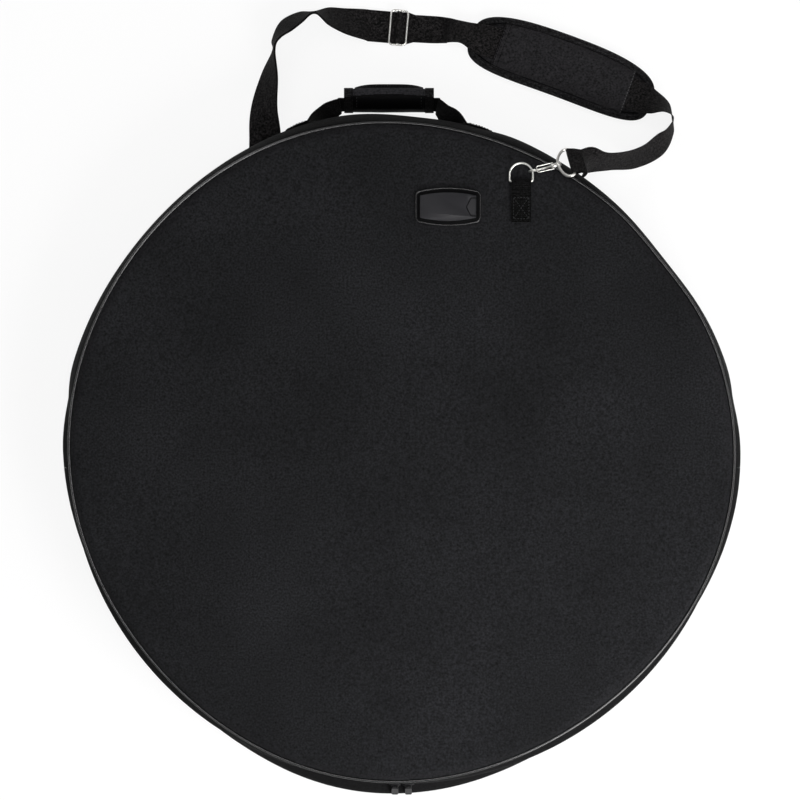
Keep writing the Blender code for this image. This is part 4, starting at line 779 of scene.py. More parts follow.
# %% Side band strips
SIDE_THICKNESS = 0.0045
CLOTH = 0.0012
CLOTH_LOW = ZIP_HEIGHT - 0.0065
CLOTH_HIGH = ZIP_HEIGHT + 0.0065
END_GAP_DEG = 0.04
UPPER_FROM = -CHORD_DEG
UPPER_TO = 180 + CHORD_DEG
ZIP_FROM = 180 + CHORD_DEG + END_GAP_DEG
ZIP_TO = 360 - CHORD_DEG - END_GAP_DEG
ZIP_ZONE = 0.04


def outward(thickness):
    return lambda point: Vector((point.x, point.y, 0)).normalized() * thickness


def band_strip(name, start, end, rows, thickness, body, *nodes):
    """A strip of the side band between two places on the rim and through the given heights."""
    columns = max(int(abs(end - start) * 2), 4)

    def place(column, row):
        degrees = blend(start, end, column / columns)
        height = rows[row]
        near_seam = min(height - SIDE_LOW, SIDE_HIGH - height)
        gather = pucker(degrees, near_seam, 0.008, 0.0009)
        wave = 0.0011 * ripple(*polar(3, degrees), height / 0.03)
        sag = wave * smooth_share(near_seam / 0.02)
        if start >= 180 and height > ZIP_ZONE:
            gather, sag = gather * 0.3, 0.0
        return polar(side_radius(degrees, height) + gather + sag, degrees, height)

    def flat(column, row):
        turn = math.radians(blend(start, end, column / columns))
        return (BAG_RADIUS * turn, rows[min(int(row), len(rows) - 1)])

    bm = sheet(columns, len(rows) - 1, place, flat)
    thicken(bm, outward(-thickness), inner_material=1)
    item = new_object(name, bm)
    # The outer face takes the darker copy of the black cloth, as painted shade on the side
    finish_piece(item, body, "black_cloth", *nodes, materials=("band_cloth", "black_lining"))


upper_rows = spread(SIDE_LOW, SIDE_HIGH, 30)
upper_nodes = ("side_band_upper", "side_foam_upper")
lower_rows = spread(SIDE_LOW, ZIP_HEIGHT - ZIP_REACH, 16)
facing_rows = spread(ZIP_HEIGHT - ZIP_REACH + 0.0002, CLOTH_LOW, 4)
flap_rows = spread(CLOTH_HIGH, SIDE_HIGH, 10)
for name, start, end, *rest in (
    ("side_cover_upper", UPPER_FROM, UPPER_TO, upper_rows, SIDE_THICKNESS, "bag", *upper_nodes),
    ("side_cover_lower", ZIP_FROM, ZIP_TO, lower_rows, SIDE_THICKNESS, "bag", "side_foam_lower"),
    ("zip_facing_bag", ZIP_FROM, ZIP_TO, facing_rows, CLOTH, "bag", "side_band_lower"),
    ("side_cover_flap", ZIP_FROM, ZIP_TO, flap_rows, CLOTH, "flap", "side_band_flap"),
):
    band_strip(name, start, end, *rest)
print("side band strips made")


# %% [markdown]
# ## Piping
#
# Both seams are piped: a cord wrapped in smooth vinyl, which catches the light as a thin bright
# line. The vinyl is drawn tight by the sewing, so the cord is slightly uneven. The front ring is
# given no body.


# %% Piping rings
def tube(points, radius, sides, cyclic=False, uneven=0.0, flat=(0, 0, 1)):
    """A round tube through points: a grid's columns run along it and its rows go round it.
    flat is the normal of the plane that the path keeps to."""
    count = len(points)
    columns = count if cyclic else count - 1
    points = [Vector(point) for point in points]

    def place(column, row):
        here = points[column % count]
        before = points[(column - 1) % count] if cyclic else points[max(column - 1, 0)]
        after = points[(column + 1) % count] if cyclic else points[min(column + 1, count - 1)]
        tangent = (after - before).normalized()
        side = tangent.cross(Vector(flat)).normalized()
        up = side.cross(tangent)
        turn = math.tau * row / sides
        thick = radius * (1 + uneven * ripple(*here, 0.012))
        return here + side * math.cos(turn) * thick + up * math.sin(turn) * thick

    def along(column, row):
        return (column * radius, row * radius)

    return close_ends(sheet(columns, sides, place, along, closed=True))


FRONT_PIPING = 0.0017
BACK_PIPING = 0.0021
PIPING_UNEVEN = 0.06


def piping(height, radius, count=900):
    turns = [360 * step / count for step in range(count)]
    points = [polar(seam_radius(degrees), degrees, height) for degrees in turns]
    return tube(points, radius, 12, True, PIPING_UNEVEN)


front_piping = new_object("front_piping_ring", piping(FRONT_BEAD, FRONT_PIPING))
finish_piece(front_piping, None, "black_piping", "piping_front", "piping_flap")
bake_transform(front_piping)
back_piping = new_object("back_piping_ring", piping(BACK_BEAD, BACK_PIPING))
finish_piece(back_piping, "bag", "black_piping", "piping_back")
print("piping rings made")

# %% [markdown]
# ## Zip
#
# A spiral zip has two woven tapes, and each carries a row of small moulded loops. The two rows
# mesh, and a slider runs along them. Each loop is a small bevelled block here, because hundreds of
# them stand side by side and none is seen alone. The rows are offset by half a step, so that they
# mesh. The flap's row leaves the bag's row when the flap is lifted.

# %% Zip tapes and teeth
TAPE_COLUMNS = 348
TAPE_NEAR = 0.0012
TAPE_FAR = 0.011
TOOTH_NEAR = 0.0004
TOOTH_FAR = 0.0034
TAPE_THICKNESS = 0.0008
TAPE_OUTER = ZIP_RADIUS - CLOTH - GAP
COIL_HEIGHT = 0.0021
TOOTH_PITCH = 0.0021


def zip_tape(name, low, high, body, node):
    heights = spread(low, high, 4)

    def place(column, row):
        degrees = blend(ZIP_FROM, ZIP_TO, column / TAPE_COLUMNS)
        return polar(TAPE_OUTER - TAPE_THICKNESS, degrees, heights[row])

    def flat(column, row):
        return (column * 0.0034, row * 0.0026)

    bm = sheet(TAPE_COLUMNS, 4, place, flat, outward(TAPE_THICKNESS))
    finish_piece(new_object(name, bm), body, "black_zip", node)


def zip_teeth(name, low, high, shift, body, node):
    step = math.degrees(TOOTH_PITCH / ZIP_RADIUS)
    middle = Matrix.Translation((TAPE_OUTER + GAP + COIL_HEIGHT / 2, 0, (low + high) / 2))
    shape = Matrix.Diagonal((COIL_HEIGHT, TOOTH_PITCH * 0.56, high - low, 1))
    bm = bmesh.new()
    for index in range(int((ZIP_TO - ZIP_FROM) / step) - 1):
        turn = Matrix.Rotation(math.radians(ZIP_FROM + step * (index + 0.6 + shift)), 4, "Z")
        bmesh.ops.create_cube(bm, size=1, matrix=turn @ middle @ shape)
    bevel(bm, bm.edges[:], 0.00035, segments=1)
    print(name, "faces:", len(bm.faces))
    finish_piece(new_object(name, bm), body, "black_zip", node, materials=("zip_teeth",))


low, high = ZIP_HEIGHT - TAPE_NEAR, ZIP_HEIGHT + TAPE_NEAR
zip_tape("zip_tape_lower", ZIP_HEIGHT - TAPE_FAR, low, "bag", "zip_tape_bag")
zip_tape("zip_tape_upper", high, ZIP_HEIGHT + TAPE_FAR, "flap", "zip_tape_flap")
low, high = ZIP_HEIGHT - TOOTH_NEAR, ZIP_HEIGHT + TOOTH_NEAR
zip_teeth("zip_teeth_lower", ZIP_HEIGHT - TOOTH_FAR, high, 0.0, "bag", "zip_coil_bag")
zip_teeth("zip_teeth_upper", low, ZIP_HEIGHT + TOOTH_FAR, 0.5, "flap", "zip_coil_flap")

# %% [markdown]
# ## Stitching
#
# Sewing holds every piece of this bag, and close up it is what makes cloth read as cloth. A stitch
# is a tiny ellipsoid sunk halfway into the surface. One helper lays a run of them along a line, and
# each group of runs becomes one mesh on its body.


# %% Stitch helpers
STITCH_STEP = 0.0034
STITCH_HALF = 0.00125
STITCH_RADIUS = 0.00034


def stitch_run(bm, points, normal, size=1.0):
    """Stitches along a line of points on a surface with the given normal, or rule for it."""
    radius = STITCH_RADIUS * size
    points = [Vector(point) for point in points]
    distances = [0.0]
    for here, following in zip(points, points[1:]):
        distances.append(distances[-1] + (following - here).length)
    count = max(int(distances[-1] / STITCH_STEP), 1)
    step = distances[-1] / count
    piece = 0
    for index in range(count):
        goal = (index + 0.5) * step
        while distances[piece + 1] < goal:
            piece += 1
        start, end = points[piece], points[piece + 1]
        share = (goal - distances[piece]) / (distances[piece + 1] - distances[piece])
        along = (end - start).normalized()
        up = Vector(normal(start) if callable(normal) else normal).normalized()
        side = up.cross(along).normalized()
        axes = Matrix((along, side, along.cross(side))).transposed().to_4x4()
        place = Matrix.Translation(start.lerp(end, share)) @ axes
        shape = Matrix.Diagonal((STITCH_HALF, radius, radius, 1))
        bmesh.ops.create_uvsphere(bm, u_segments=6, v_segments=4, radius=1, matrix=place @ shape)


def stitch_box(bm, place, half_x, half_y, cross=True):
    """A sewn rectangle, with a cross in it, where place(x, y) lies on the surface."""

    def line(start, end):
        pairs = [(blend(start[0], end[0], t), blend(start[1], end[1], t)) for t in spread(0, 1, 8)]
        return [place(x, y)[0] for x, y in pairs]

    normal = place(0, 0)[1]
    corners = [(-half_x, -half_y), (half_x, -half_y), (half_x, half_y), (-half_x, half_y)]
    for start, end in zip(corners, corners[1:] + corners[:1]):
        stitch_run(bm, line(start, end), normal)
    if cross:
        stitch_run(bm, line(corners[0], corners[2]), normal)
        stitch_run(bm, line(corners[1], corners[3]), normal)


def add_stitches(name, bm, body, slot_name, thread="thread"):
    print(name, "stitches:", len(bm.faces) // 24)
    return finish_piece(new_object(name, bm), body, slot_name, materials=(thread,))


# %% [markdown]
# ## Patches at the zip's ends
#
# A cloth patch is sewn over each end of the zip, at nine and three o'clock. It is a small sheet
# that follows the band, with a line of stitches inside its edge.

# %% Zip end patches
PATCH_WIDTH = 0.034
PATCH_HEIGHT = 0.029
PATCH_THICKNESS = 0.0013

patch_stitches = bmesh.new()
for side_name, middle in (("left", 180.0), ("right", 0.0)):
    half = math.degrees(PATCH_WIDTH / 2 / ZIP_RADIUS)

    def patch_point(x, y, middle=middle, half=half):
        """x and y run from -1 to 1 over the patch."""
        degrees = middle + half * x
        height = ZIP_HEIGHT + PATCH_HEIGHT / 2 * y
        radius = max(side_radius(degrees, height), ZIP_RADIUS) + GAP + 0.0004
        edge = max(abs(x), abs(y))
        return polar(radius + 0.0004 * (1 - edge**4), degrees, height)

    bm = sheet(
        24,
        20,
        lambda column, row: patch_point(column / 12 - 1, row / 10 - 1),
        lambda column, row: (column * 0.0014, row * 0.0014),
        outward(PATCH_THICKNESS),
    )
    patch = new_object(f"zip_patch_{side_name}", soften_edges(bm, 0.0004))
    finish_piece(patch, "bag", "black_cloth", f"zip_end_patch_{side_name}")
    for reach in (0.8, 0.62):
        corners = [(-reach, -reach), (reach, -reach), (reach, reach), (-reach, reach)]
        for start, end in zip(corners, corners[1:] + corners[:1]):
            line = []
            for share in spread(0, 1, 8):
                x, y = blend(start[0], end[0], share), blend(start[1], end[1], share)
                point = patch_point(x, y)
                line.append(point + outward(PATCH_THICKNESS)(point))
            stitch_run(patch_stitches, line, outward(1.0))
add_stitches("zip_patch_stitches", patch_stitches, "bag", "black_cloth")

# %% [markdown]
# ## Zip sliders and their pulls
#
# The two sliders are parked side by side at six o'clock. Each has a front and a back plate joined
# by a thin neck that spreads the teeth, and a bail of wire that holds the pull. Blocks with
# rounded corners are enough for the plates, and a swept wire makes the bail. The metal is painted
# black, as nothing bright shows at six o'clock in the picture.

# %% Small shape helpers
def rounded_block(low, high, corner, edge, axis="Z"):
    """A box whose edges along axis are rounded by corner and its other edges by edge."""
    low, high = Vector(low), Vector(high)
    bm = bmesh.new()
    bmesh.ops.create_cube(bm, size=1)
    bmesh.ops.scale(bm, vec=high - low, verts=bm.verts[:])
    bmesh.ops.translate(bm, vec=(low + high) / 2, verts=bm.verts[:])
    index = "XYZ".index(axis)
    upright = []
    for item in bm.edges:
        run = item.verts[1].co - item.verts[0].co
        if abs(run[index]) > run.length * 0.9:
            upright.append(item)
    bevel(bm, upright, corner, segments=6)
    return soften_edges(bm, edge)


def rounded_path(points, radius, steps=6, cyclic=False):
    """The same line of points with its corners rounded."""
    points = [Vector(point) for point in points]
    count = len(points)
    result = []
    for index, here in enumerate(points):
        if not cyclic and index in (0, count - 1):
            result.append(here)
            continue
        before, after = points[index - 1], points[(index + 1) % count]
        reach_in = min(radius, (before - here).length * 0.49)
        reach_out = min(radius, (after - here).length * 0.49)
        start = here + (before - here).normalized() * reach_in
        end = here + (after - here).normalized() * reach_out
        for share in spread(0, 1, steps):
            result.append(start.lerp(here, share).lerp(here.lerp(end, share), share))
    return result


def add_part(bm, other, matrix=None):
    """Join another bmesh into this one, placed by matrix."""
    if matrix is not None:
        bmesh.ops.transform(other, matrix=matrix, verts=other.verts[:])
    mesh = bpy.data.meshes.new("part")
    other.to_mesh(mesh)
    other.free()
    bm.from_mesh(mesh)
    bpy.data.meshes.remove(mesh)
    return bm


def lathe(profile, steps=28):
    """A solid turned about X from (place on X, radius) pairs."""
    bm = bmesh.new()
    points = [bm.verts.new((x, 0, radius)) for x, radius in profile]
    edges = [bm.edges.new(pair) for pair in zip(points, points[1:])]
    bmesh.ops.spin(
        bm,
        geom=points + edges,
        cent=(0, 0, 0),
        axis=(1, 0, 0),
        angle=math.tau,
        steps=steps,
        use_merge=True,
    )
    bmesh.ops.remove_doubles(bm, verts=bm.verts[:], dist=MERGE_DISTANCE)
    bmesh.ops.recalc_face_normals(bm, faces=bm.faces[:])
    return bm


def placed(bm, matrix):
    bmesh.ops.transform(bm, matrix=matrix, verts=bm.verts[:])
    return bm


# %% Sliders and pulls
SLIDER_LENGTH = 0.014
SLIDER_HALF = SLIDER_LENGTH / 2
SLIDER_SPACING = 0.0015
COIL_FACE = COIL_HEIGHT - CLOTH
SLIDER_FRONT = ZIP_RADIUS + COIL_FACE + 0.0006
SLIDER_BACK = TAPE_OUTER - TAPE_THICKNESS - 0.0006
SLIDER_PLATE = 0.0016
BAIL_WIRE = 0.0007
BAIL_CENTRE = SLIDER_FRONT + SLIDER_PLATE + GAP + 0.0011 + GAP + 0.00105
PULL_LENGTH = 0.03
PULL_WIDTH = 0.008
PULL_THICKNESS = 0.0014


def slider_frame(side):
    """X along the zip, Y up the bag, Z outward, about the bag's axis."""
    half = (SLIDER_LENGTH + SLIDER_SPACING) / 2
    outer = polar(1, 270 + side * math.degrees(half / ZIP_RADIUS))
    up = Vector((0, 0, 1))
    matrix = Matrix((up.cross(outer), up, outer)).transposed().to_4x4()
    matrix.translation = Vector((0, 0, ZIP_HEIGHT))
    return matrix


def pull_tilt():
    """How far the hanging pull leans out, to lie on the band's swell below it."""
    steepest = 0.0
    for height in (CREST_HEIGHT, ZIP_HEIGHT - ZIP_REACH):
        reach = lower_side(270, height) + 0.0008 + PULL_THICKNESS / 2 - BAIL_CENTRE
        steepest = max(steepest, math.atan2(reach, ZIP_HEIGHT - height))
    return steepest


def slider_mesh():
    bm = rounded_block(
        (-SLIDER_HALF, -0.005, SLIDER_FRONT),
        (SLIDER_HALF, 0.005, SLIDER_FRONT + SLIDER_PLATE),
        0.0032,
        0.0004,
    )
    back_plate = rounded_block(
        (-SLIDER_HALF, -0.004, SLIDER_BACK - SLIDER_PLATE),
        (SLIDER_HALF, 0.004, SLIDER_BACK),
        0.003,
        0.0003,
    )
    add_part(bm, back_plate)
    neck = rounded_block(
        (-SLIDER_HALF / 2, -0.0008, SLIDER_BACK - 0.0008),
        (SLIDER_HALF / 2, 0.0008, SLIDER_FRONT + 0.0008),
        0.0006,
        0.0001,
    )
    add_part(bm, neck)
    foot = 0.0036
    bail = rounded_path(
        [
            (-foot, 0, SLIDER_FRONT + 0.0008),
            (-foot, 0, BAIL_CENTRE),
            (foot, 0, BAIL_CENTRE),
            (foot, 0, SLIDER_FRONT + 0.0008),
        ],
        0.0011,
    )
    add_part(bm, tube(bail, BAIL_WIRE, 10, flat=(0, 1, 0)))
    return bm


def pull_mesh():
    """An eye that turns on the bail, and a flat tab with a pressed panel and a rounded end."""
    inner, outer, half = 0.00135, 0.00245, 0.0021
    bm = lathe([(-half, inner), (-half, outer), (half, outer), (half, inner), (-half, inner)], 24)
    tab = rounded_block(
        (-PULL_WIDTH / 2, -PULL_LENGTH, -PULL_THICKNESS / 2),
        (PULL_WIDTH / 2, -outer - 0.0014, PULL_THICKNESS / 2),
        0.0026,
        0.00025,
    )
    large = [face for face in tab.faces if abs(face.normal.z) > 0.99 and face.calc_area() > 0.0001]
    bmesh.ops.inset_individual(tab, faces=large, thickness=0.0011, depth=0.0)
    bmesh.ops.inset_individual(tab, faces=large, thickness=0.0002, depth=-0.0003)
    add_part(bm, tab)
    stem = rounded_block(
        (-half, -outer - 0.0028, -PULL_THICKNESS / 2),
        (half, -inner - 0.00055, PULL_THICKNESS / 2),
        0.0002,
        0.0001,
    )
    return add_part(bm, stem)


for side_name, side in (("left", -1), ("right", 1)):
    matrix = slider_frame(side)
    slider = new_object(f"slider_{side_name}", placed(slider_mesh(), matrix))
    node = f"zip_slider_{side_name}"
    finish_piece(slider, node, "bright_nickel", node, materials=("black_metal",))
    hang = matrix @ Matrix.Translation((0, 0, BAIL_CENTRE)) @ Matrix.Rotation(-pull_tilt(), 4, "X")
    pull = new_object(f"pull_tab_{side_name}", placed(pull_mesh(), hang))
    node = f"zip_pull_{side_name}"
    finish_piece(pull, node, "bright_nickel", node, materials=("black_metal",))
print("pulls lean out by", round(math.degrees(pull_tilt()), 1), "degrees")

# %% [markdown]
# ## Webbing bands
#
# Straps, tabs and the handle are all woven webbing: flat, a little thinner at its two selvedges. A
# band follows stations, and each station is a centre and a width direction. A grid with whole
# numbers for column, row and layer keeps track of every corner until it is placed.


# %% Band helpers
def catmull(knots, share):
    before, start, end, after = knots
    return 0.5 * (
        2 * start
        + (end - before) * share
        + (2 * before - 5 * start + 4 * end - after) * share**2
        + (3 * start - before - 3 * end + after) * share**3
    )


def smooth_stations(stations, steps):
    ends = [stations[0]] + list(stations) + [stations[-1]]
    result = []
    for index in range(len(stations) - 1):
        group = ends[index : index + 4]
        for share in spread(0, 1, steps)[:-1]:
            centre = catmull([item[0] for item in group], share)
            result.append((centre, catmull([item[1] for item in group], share).normalized()))
    result.append(stations[-1])
    return result


def station_normals(stations):
    normals = []
    last = len(stations) - 1
    for index, (centre, width) in enumerate(stations):
        run = stations[min(index + 1, last)][0] - stations[max(index - 1, 0)][0]
        normals.append(run.cross(width).normalized())
    return normals


FLOOR_GAP = 0.0002


def no_crease(centre):
    return 0.0, 0.0, 0.0


def band(stations, width, thickness, rows=10, crease=no_crease, turned=False):
    """A closed band of webbing, with its flat coordinates in metres along and across.
    crease(centre) gives the height of its creases, and how far its sides are drawn in and its
    middle is pushed up. A turned band has its ribs across it."""
    normals = station_normals(stations)
    lengths = [0.0]
    for here, following in zip(stations, stations[1:]):
        lengths.append(lengths[-1] + (following[0] - here[0]).length)
    columns = len(stations) - 1
    bm = bmesh.new()
    bmesh.ops.create_grid(bm, x_segments=columns, y_segments=rows, size=1, calc_uvs=True)
    for vert in bm.verts:
        vert.co = (round((vert.co.x + 1) * columns / 2), round((vert.co.y + 1) * rows / 2), 0)
    layer = bm.loops.layers.uv.verify()
    for face in bm.faces:
        for loop in face.loops:
            column, row = round(loop.vert.co.x), round(loop.vert.co.y)
            place = (lengths[column], width * row / rows)
            loop[layer].uv = place[::-1] if turned else place
    thicken(bm, lambda point: Vector((0, 0, 1)))
    for vert in bm.verts:
        column, row, side = (round(value) for value in vert.co)
        centre, across = stations[column]
        share = row / rows - 0.5
        full = 1 - 0.45 * abs(share * 2) ** 6
        wrinkle, drawn_in, raised = crease(centre)
        fold = wrinkle * ripple(lengths[column], share * width * 0.6, 0.3, 0.014)
        lift = normals[column] * (thickness * full * (side - 0.5) + fold)
        arch = Vector((0, 0, raised * (1 - (2 * share) ** 2)))
        vert.co = centre + across * width * share * (1 - drawn_in) + lift + arch
        if centre.z > 0:
            vert.co.z = max(vert.co.z, FLOOR_GAP)
    bmesh.ops.recalc_face_normals(bm, faces=bm.faces[:])
    return bm


# %% [markdown]
# ## Carry handle
#
# The handle is one webbing whose two ends are sewn to the band. It droops sideways to the floor, as
# in the picture. A padded vinyl wrap surrounds its middle, bound with tape at both ends, and a
# hook-and-loop flap closes round it. The webbing bends where it leaves the bag, and it is given no
# body.

# %% Handle frame and stations
HANDLE_X = -0.0394 * BAG_RADIUS
HANDLE_HEIGHT = 0.045
HANDLE_DROOP = math.radians(-45)
HANDLE_RISE = 0.0375
HANDLE_SETBACK = 0.0035
HANDLE_SPAN = 0.184
HANDLE_WIDTH = 0.026
HANDLE_THICKNESS = 0.0026
GRIP_HALF = 0.0537
WEBBING_SAG = 0.0034
GRIP_Y = 0.0105
GRIP_Z = 0.016
ANCHOR_LENGTH = 0.03

HANDLE_Y = side_radius(math.degrees(math.atan2(BAG_RADIUS, HANDLE_X)), HANDLE_HEIGHT) - 0.0062
handle_frame = Matrix.Translation((HANDLE_X, HANDLE_Y, HANDLE_HEIGHT)) @ Matrix.Rotation(
    HANDLE_DROOP, 4, "X"
)


def anchor_point(x, lift):
    """A point over the band's surface at the handle's height."""
    y = BAG_RADIUS
    for _ in range(6):
        degrees = math.degrees(math.atan2(y, x))
        radius = side_radius(degrees, HANDLE_HEIGHT) + lift
        y = math.sqrt(radius * radius - x * x)
    return Vector((x, y, HANDLE_HEIGHT))


# Each leg from the grip to the bag: where it meets the bag, then its reach past the grip and its
# rise as shares, its lean in degrees and how far its upper edge is drawn outward
LEFT_LEG = (
    0.0965,
    (0.14, 0.76, 56, 0.25),
    (0.36, 0.55, 50, 0.35),
    (0.62, 0.37, 27, 0.40),
    (0.86, 0.15, 12, 0.20),
)
RIGHT_LEG = (
    0.092,
    (0.14, 0.72, 60, 0.30),
    (0.34, 0.34, 58, 0.50),
    (0.60, 0.15, 36, 0.60),
    (0.84, 0.02, 14, 0.30),
)


def handle_stations():
    """The webbing's centre line and width direction, from one sewn end to the other."""
    across = (handle_frame.to_3x3() @ Vector((0, 0, 1))).normalized()
    lift = GAP + HANDLE_THICKNESS / 2
    rise = HANDLE_RISE - HANDLE_SETBACK
    legs = []
    for side, (span, *shares) in ((-1, LEFT_LEG), (1, RIGHT_LEG)):
        leg = [(anchor_point(HANDLE_X + side * span, lift), Vector((0, 0, 1)))]
        for reach_share, rise_share, lean, splay in reversed(shares):
            reach = blend(GRIP_HALF, span, reach_share)
            turn = math.radians(lean)
            place = handle_frame @ Vector((side * reach, rise * rise_share, 0))
            up = Vector((side * splay * math.sin(turn), math.sin(turn), math.cos(turn)))
            leg.append((place, up.normalized()))
        leg.append((handle_frame @ Vector((side * GRIP_HALF, rise, -WEBBING_SAG)), across))
        leg.append((handle_frame @ Vector((0, rise, -WEBBING_SAG)), across))
        legs.append(leg)
    return legs[0] + legs[1][:-1][::-1]


def handle_gather(centre):
    """The webbing is gathered where it enters the grip."""
    outside = abs(centre.x - HANDLE_X) - GRIP_HALF
    return 0.0, 0.25 * (1 - smooth_share(outside / 0.022)), 0.0


handle_route = smooth_stations(handle_stations(), 10)
handle_band = new_object(
    "handle_strap", band(handle_route, HANDLE_WIDTH, HANDLE_THICKNESS, crease=handle_gather)
)
finish_piece(handle_band, None, "black_webbing", "handle_webbing", materials=("dark_webbing",))
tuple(handle_frame.translation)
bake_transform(handle_band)


def end_lift(x, outer):
    """The sewn end is pressed into the padding where it stops."""
    return -0.0021 * smooth_share(1 - abs(outer - x) / 0.016)


anchor_stitches = bmesh.new()
for side_name, side, span in (("left", -1, LEFT_LEG[0]), ("right", 1, RIGHT_LEG[0])):
    inner = HANDLE_X + side * (span - 0.0004)
    outer = HANDLE_X + side * (HANDLE_SPAN / 2 + ANCHOR_LENGTH)
    lift = GAP + HANDLE_THICKNESS / 2
    places = [anchor_point(x, lift + end_lift(x, outer)) for x in spread(inner, outer, 16)]
    stations = [(place, Vector((0, 0, 1))) for place in places]
    anchor = new_object(f"handle_end_{side_name}", band(stations, HANDLE_WIDTH, HANDLE_THICKNESS))
    node = f"handle_anchor_{side_name}"
    finish_piece(anchor, "bag", "black_webbing", node, materials=("dark_webbing",))

    def anchor_face(x, y, middle=(inner + outer) / 2, outer=outer):
        point = anchor_point(middle + x, GAP + HANDLE_THICKNESS + end_lift(middle + x, outer))
        return point + Vector((0, 0, y)), outward(1)(point)

    stitch_box(anchor_stitches, anchor_face, 0.0115, 0.0125)
add_stitches("handle_end_stitches", anchor_stitches, "bag", "black_webbing")


# %% Grip
GRIP_SIDES = 56
# The grip's second finish is lighter and paints the light on its upper side
GRIP_BLACK_AND_PAINTED_LIGHT = ("black_vinyl", "grip_cloth")


def oval(turn, extra):
    return (HANDLE_RISE + (GRIP_Y + extra) * math.cos(turn), (GRIP_Z + extra) * math.sin(turn))


def slot(turn):
    """The flat slot in the grip that the webbing runs through."""
    reach = max(abs(math.cos(turn)), abs(math.sin(turn)))
    half_y, half_z = HANDLE_THICKNESS / 2 + 0.0006, HANDLE_WIDTH / 2 + 0.0006
    middle = HANDLE_RISE - HANDLE_SETBACK
    return (middle + half_y * math.cos(turn) / reach, half_z * math.sin(turn) / reach)


def grip_rows():
    """(place along the grip, share from the slot to the outer face) for one end to the other."""
    ends = [(0.0, 0.0), (0.0, 0.6), (0.0003, 0.85), (0.0012, 0.96), (0.003, 1.0)]
    left = [(-GRIP_HALF + inset, share) for inset, share in ends]
    right = [(GRIP_HALF - inset, share) for inset, share in reversed(ends)]
    middle = [(x, 1.0) for x in spread(-GRIP_HALF + 0.006, GRIP_HALF - 0.006, 30)]
    return left + middle + right + left[:1]


def grip_mesh():
    rows = grip_rows()

    def place(column, row):
        x, share = rows[row]
        turn = math.tau * column / GRIP_SIDES
        outer_y, outer_z = oval(turn, 0)
        inner_y, inner_z = slot(turn)
        crease = 0.0004 * ripple(x * 0.5, math.cos(turn) * 0.02, math.sin(turn) * 0.02, 0.01)
        grow = crease * share if share == 1 and row < len(rows) - 1 else 0.0
        y = blend(inner_y, outer_y, share) + grow * math.cos(turn)
        z = blend(inner_z, outer_z, share) + grow * math.sin(turn)
        return (x, y, z)

    def flat(column, row):
        return (column * 0.0016, row * 0.003)

    return sheet(GRIP_SIDES, len(rows) - 1, place, flat, closed=True)


def paint_lit_upper_side(bm, start=60):
    """Painted light from above: the upper side takes the second, lighter finish, and the
    rest keeps the first, black one. The edge is bowed.
    """
    for face in bm.faces:
        middle = face.calc_center_median()
        turn = math.degrees(math.atan2(middle.z / GRIP_Z, (middle.y - HANDLE_RISE) / GRIP_Y))
        if start < turn < 124 + 12 * (middle.x / GRIP_HALF) ** 2:
            face.material_index = 1
    return bm


grip = new_object("grip_wrap", placed(paint_lit_upper_side(grip_mesh()), handle_frame))
finish_piece(grip, "handle", "black_vinyl", "handle_wrap", materials=GRIP_BLACK_AND_PAINTED_LIGHT)


def no_bow(x, turn):
    return 0.0


def grip_sleeve(low, high, start, end, extra, thickness, columns, rows, bow=no_bow):
    """A sheet round the grip, from one angle to another."""

    def place(column, row):
        degrees = blend(start, end, column / columns)
        x = blend(low, high, row / rows)
        y, z = oval(math.radians(degrees), extra + bow(x, degrees))
        return (x, y, z)

    def away(point):
        around = Vector((0, (point.y - HANDLE_RISE) * GRIP_Z / GRIP_Y, point.z))
        return around.normalized() * thickness

    def flat(column, row):
        turn = math.radians(blend(start, end, column / columns))
        return (blend(low, high, row / rows), turn * GRIP_Z)

    return sheet(columns, rows, place, flat, away)


for side_name, side in (("left", -1), ("right", 1)):
    low, high = sorted((side * GRIP_HALF, side * (GRIP_HALF - 0.0105)))
    binding = grip_sleeve(low, high, 0, 360, GAP, 0.0006, GRIP_SIDES, 6)
    bmesh.ops.remove_doubles(binding, verts=binding.verts[:], dist=2 * MERGE_DISTANCE)
    inside = [
        face for face in binding.faces if all(len(edge.link_faces) > 2 for edge in face.edges)
    ]
    if inside:
        bmesh.ops.delete(binding, geom=inside, context="FACES")
    # Painted light: the binding's upper side takes the lighter tape finish, and the rest the dark
    # webbing
    binding = paint_lit_upper_side(soften_edges(binding, 0.0003))
    piece = new_object(f"grip_binding_{side_name}", placed(binding, handle_frame))
    node = f"handle_binding_{side_name}"
    finish_piece(piece, "handle", "black_webbing", node, materials=("dark_webbing", "pad_tape"))

FLAP_HALF = 0.041
FLAP_BOW = 0.0042


def flap_bow(x, degrees):
    """The flap's far end stands off the grip in a low arch."""
    return FLAP_BOW * (1 - (x / FLAP_HALF) ** 4) * (1 - smooth_share((degrees - 50) / 28))


flap_sheet = grip_sleeve(-FLAP_HALF, FLAP_HALF, 195, 50, GAP, 0.0012, 44, 40, flap_bow)
# The flap's painted light starts further round, so that its raised far end stays dark as painted
# shade
flap_bm = paint_lit_upper_side(soften_edges(flap_sheet, 0.0004), 76)
grip_flap = new_object("grip_flap", placed(flap_bm, handle_frame))
node = "handle_wrap_flap"
finish_piece(grip_flap, node, "black_vinyl", node, materials=GRIP_BLACK_AND_PAINTED_LIGHT)


def flap_line(low, high, start, end):
    points = []
    for share in spread(0, 1, 30):
        x, degrees = blend(low, high, share), blend(start, end, share)
        y, z = oval(math.radians(degrees), GAP + 0.0012 + flap_bow(x, degrees))
        points.append(handle_frame @ Vector((x, y, z)))
    return points


def flap_normal(point):
    local = handle_frame.inverted() @ point
    around = Vector((0, (local.y - HANDLE_RISE) * GRIP_Z / GRIP_Y, local.z))
    return handle_frame.to_3x3() @ around


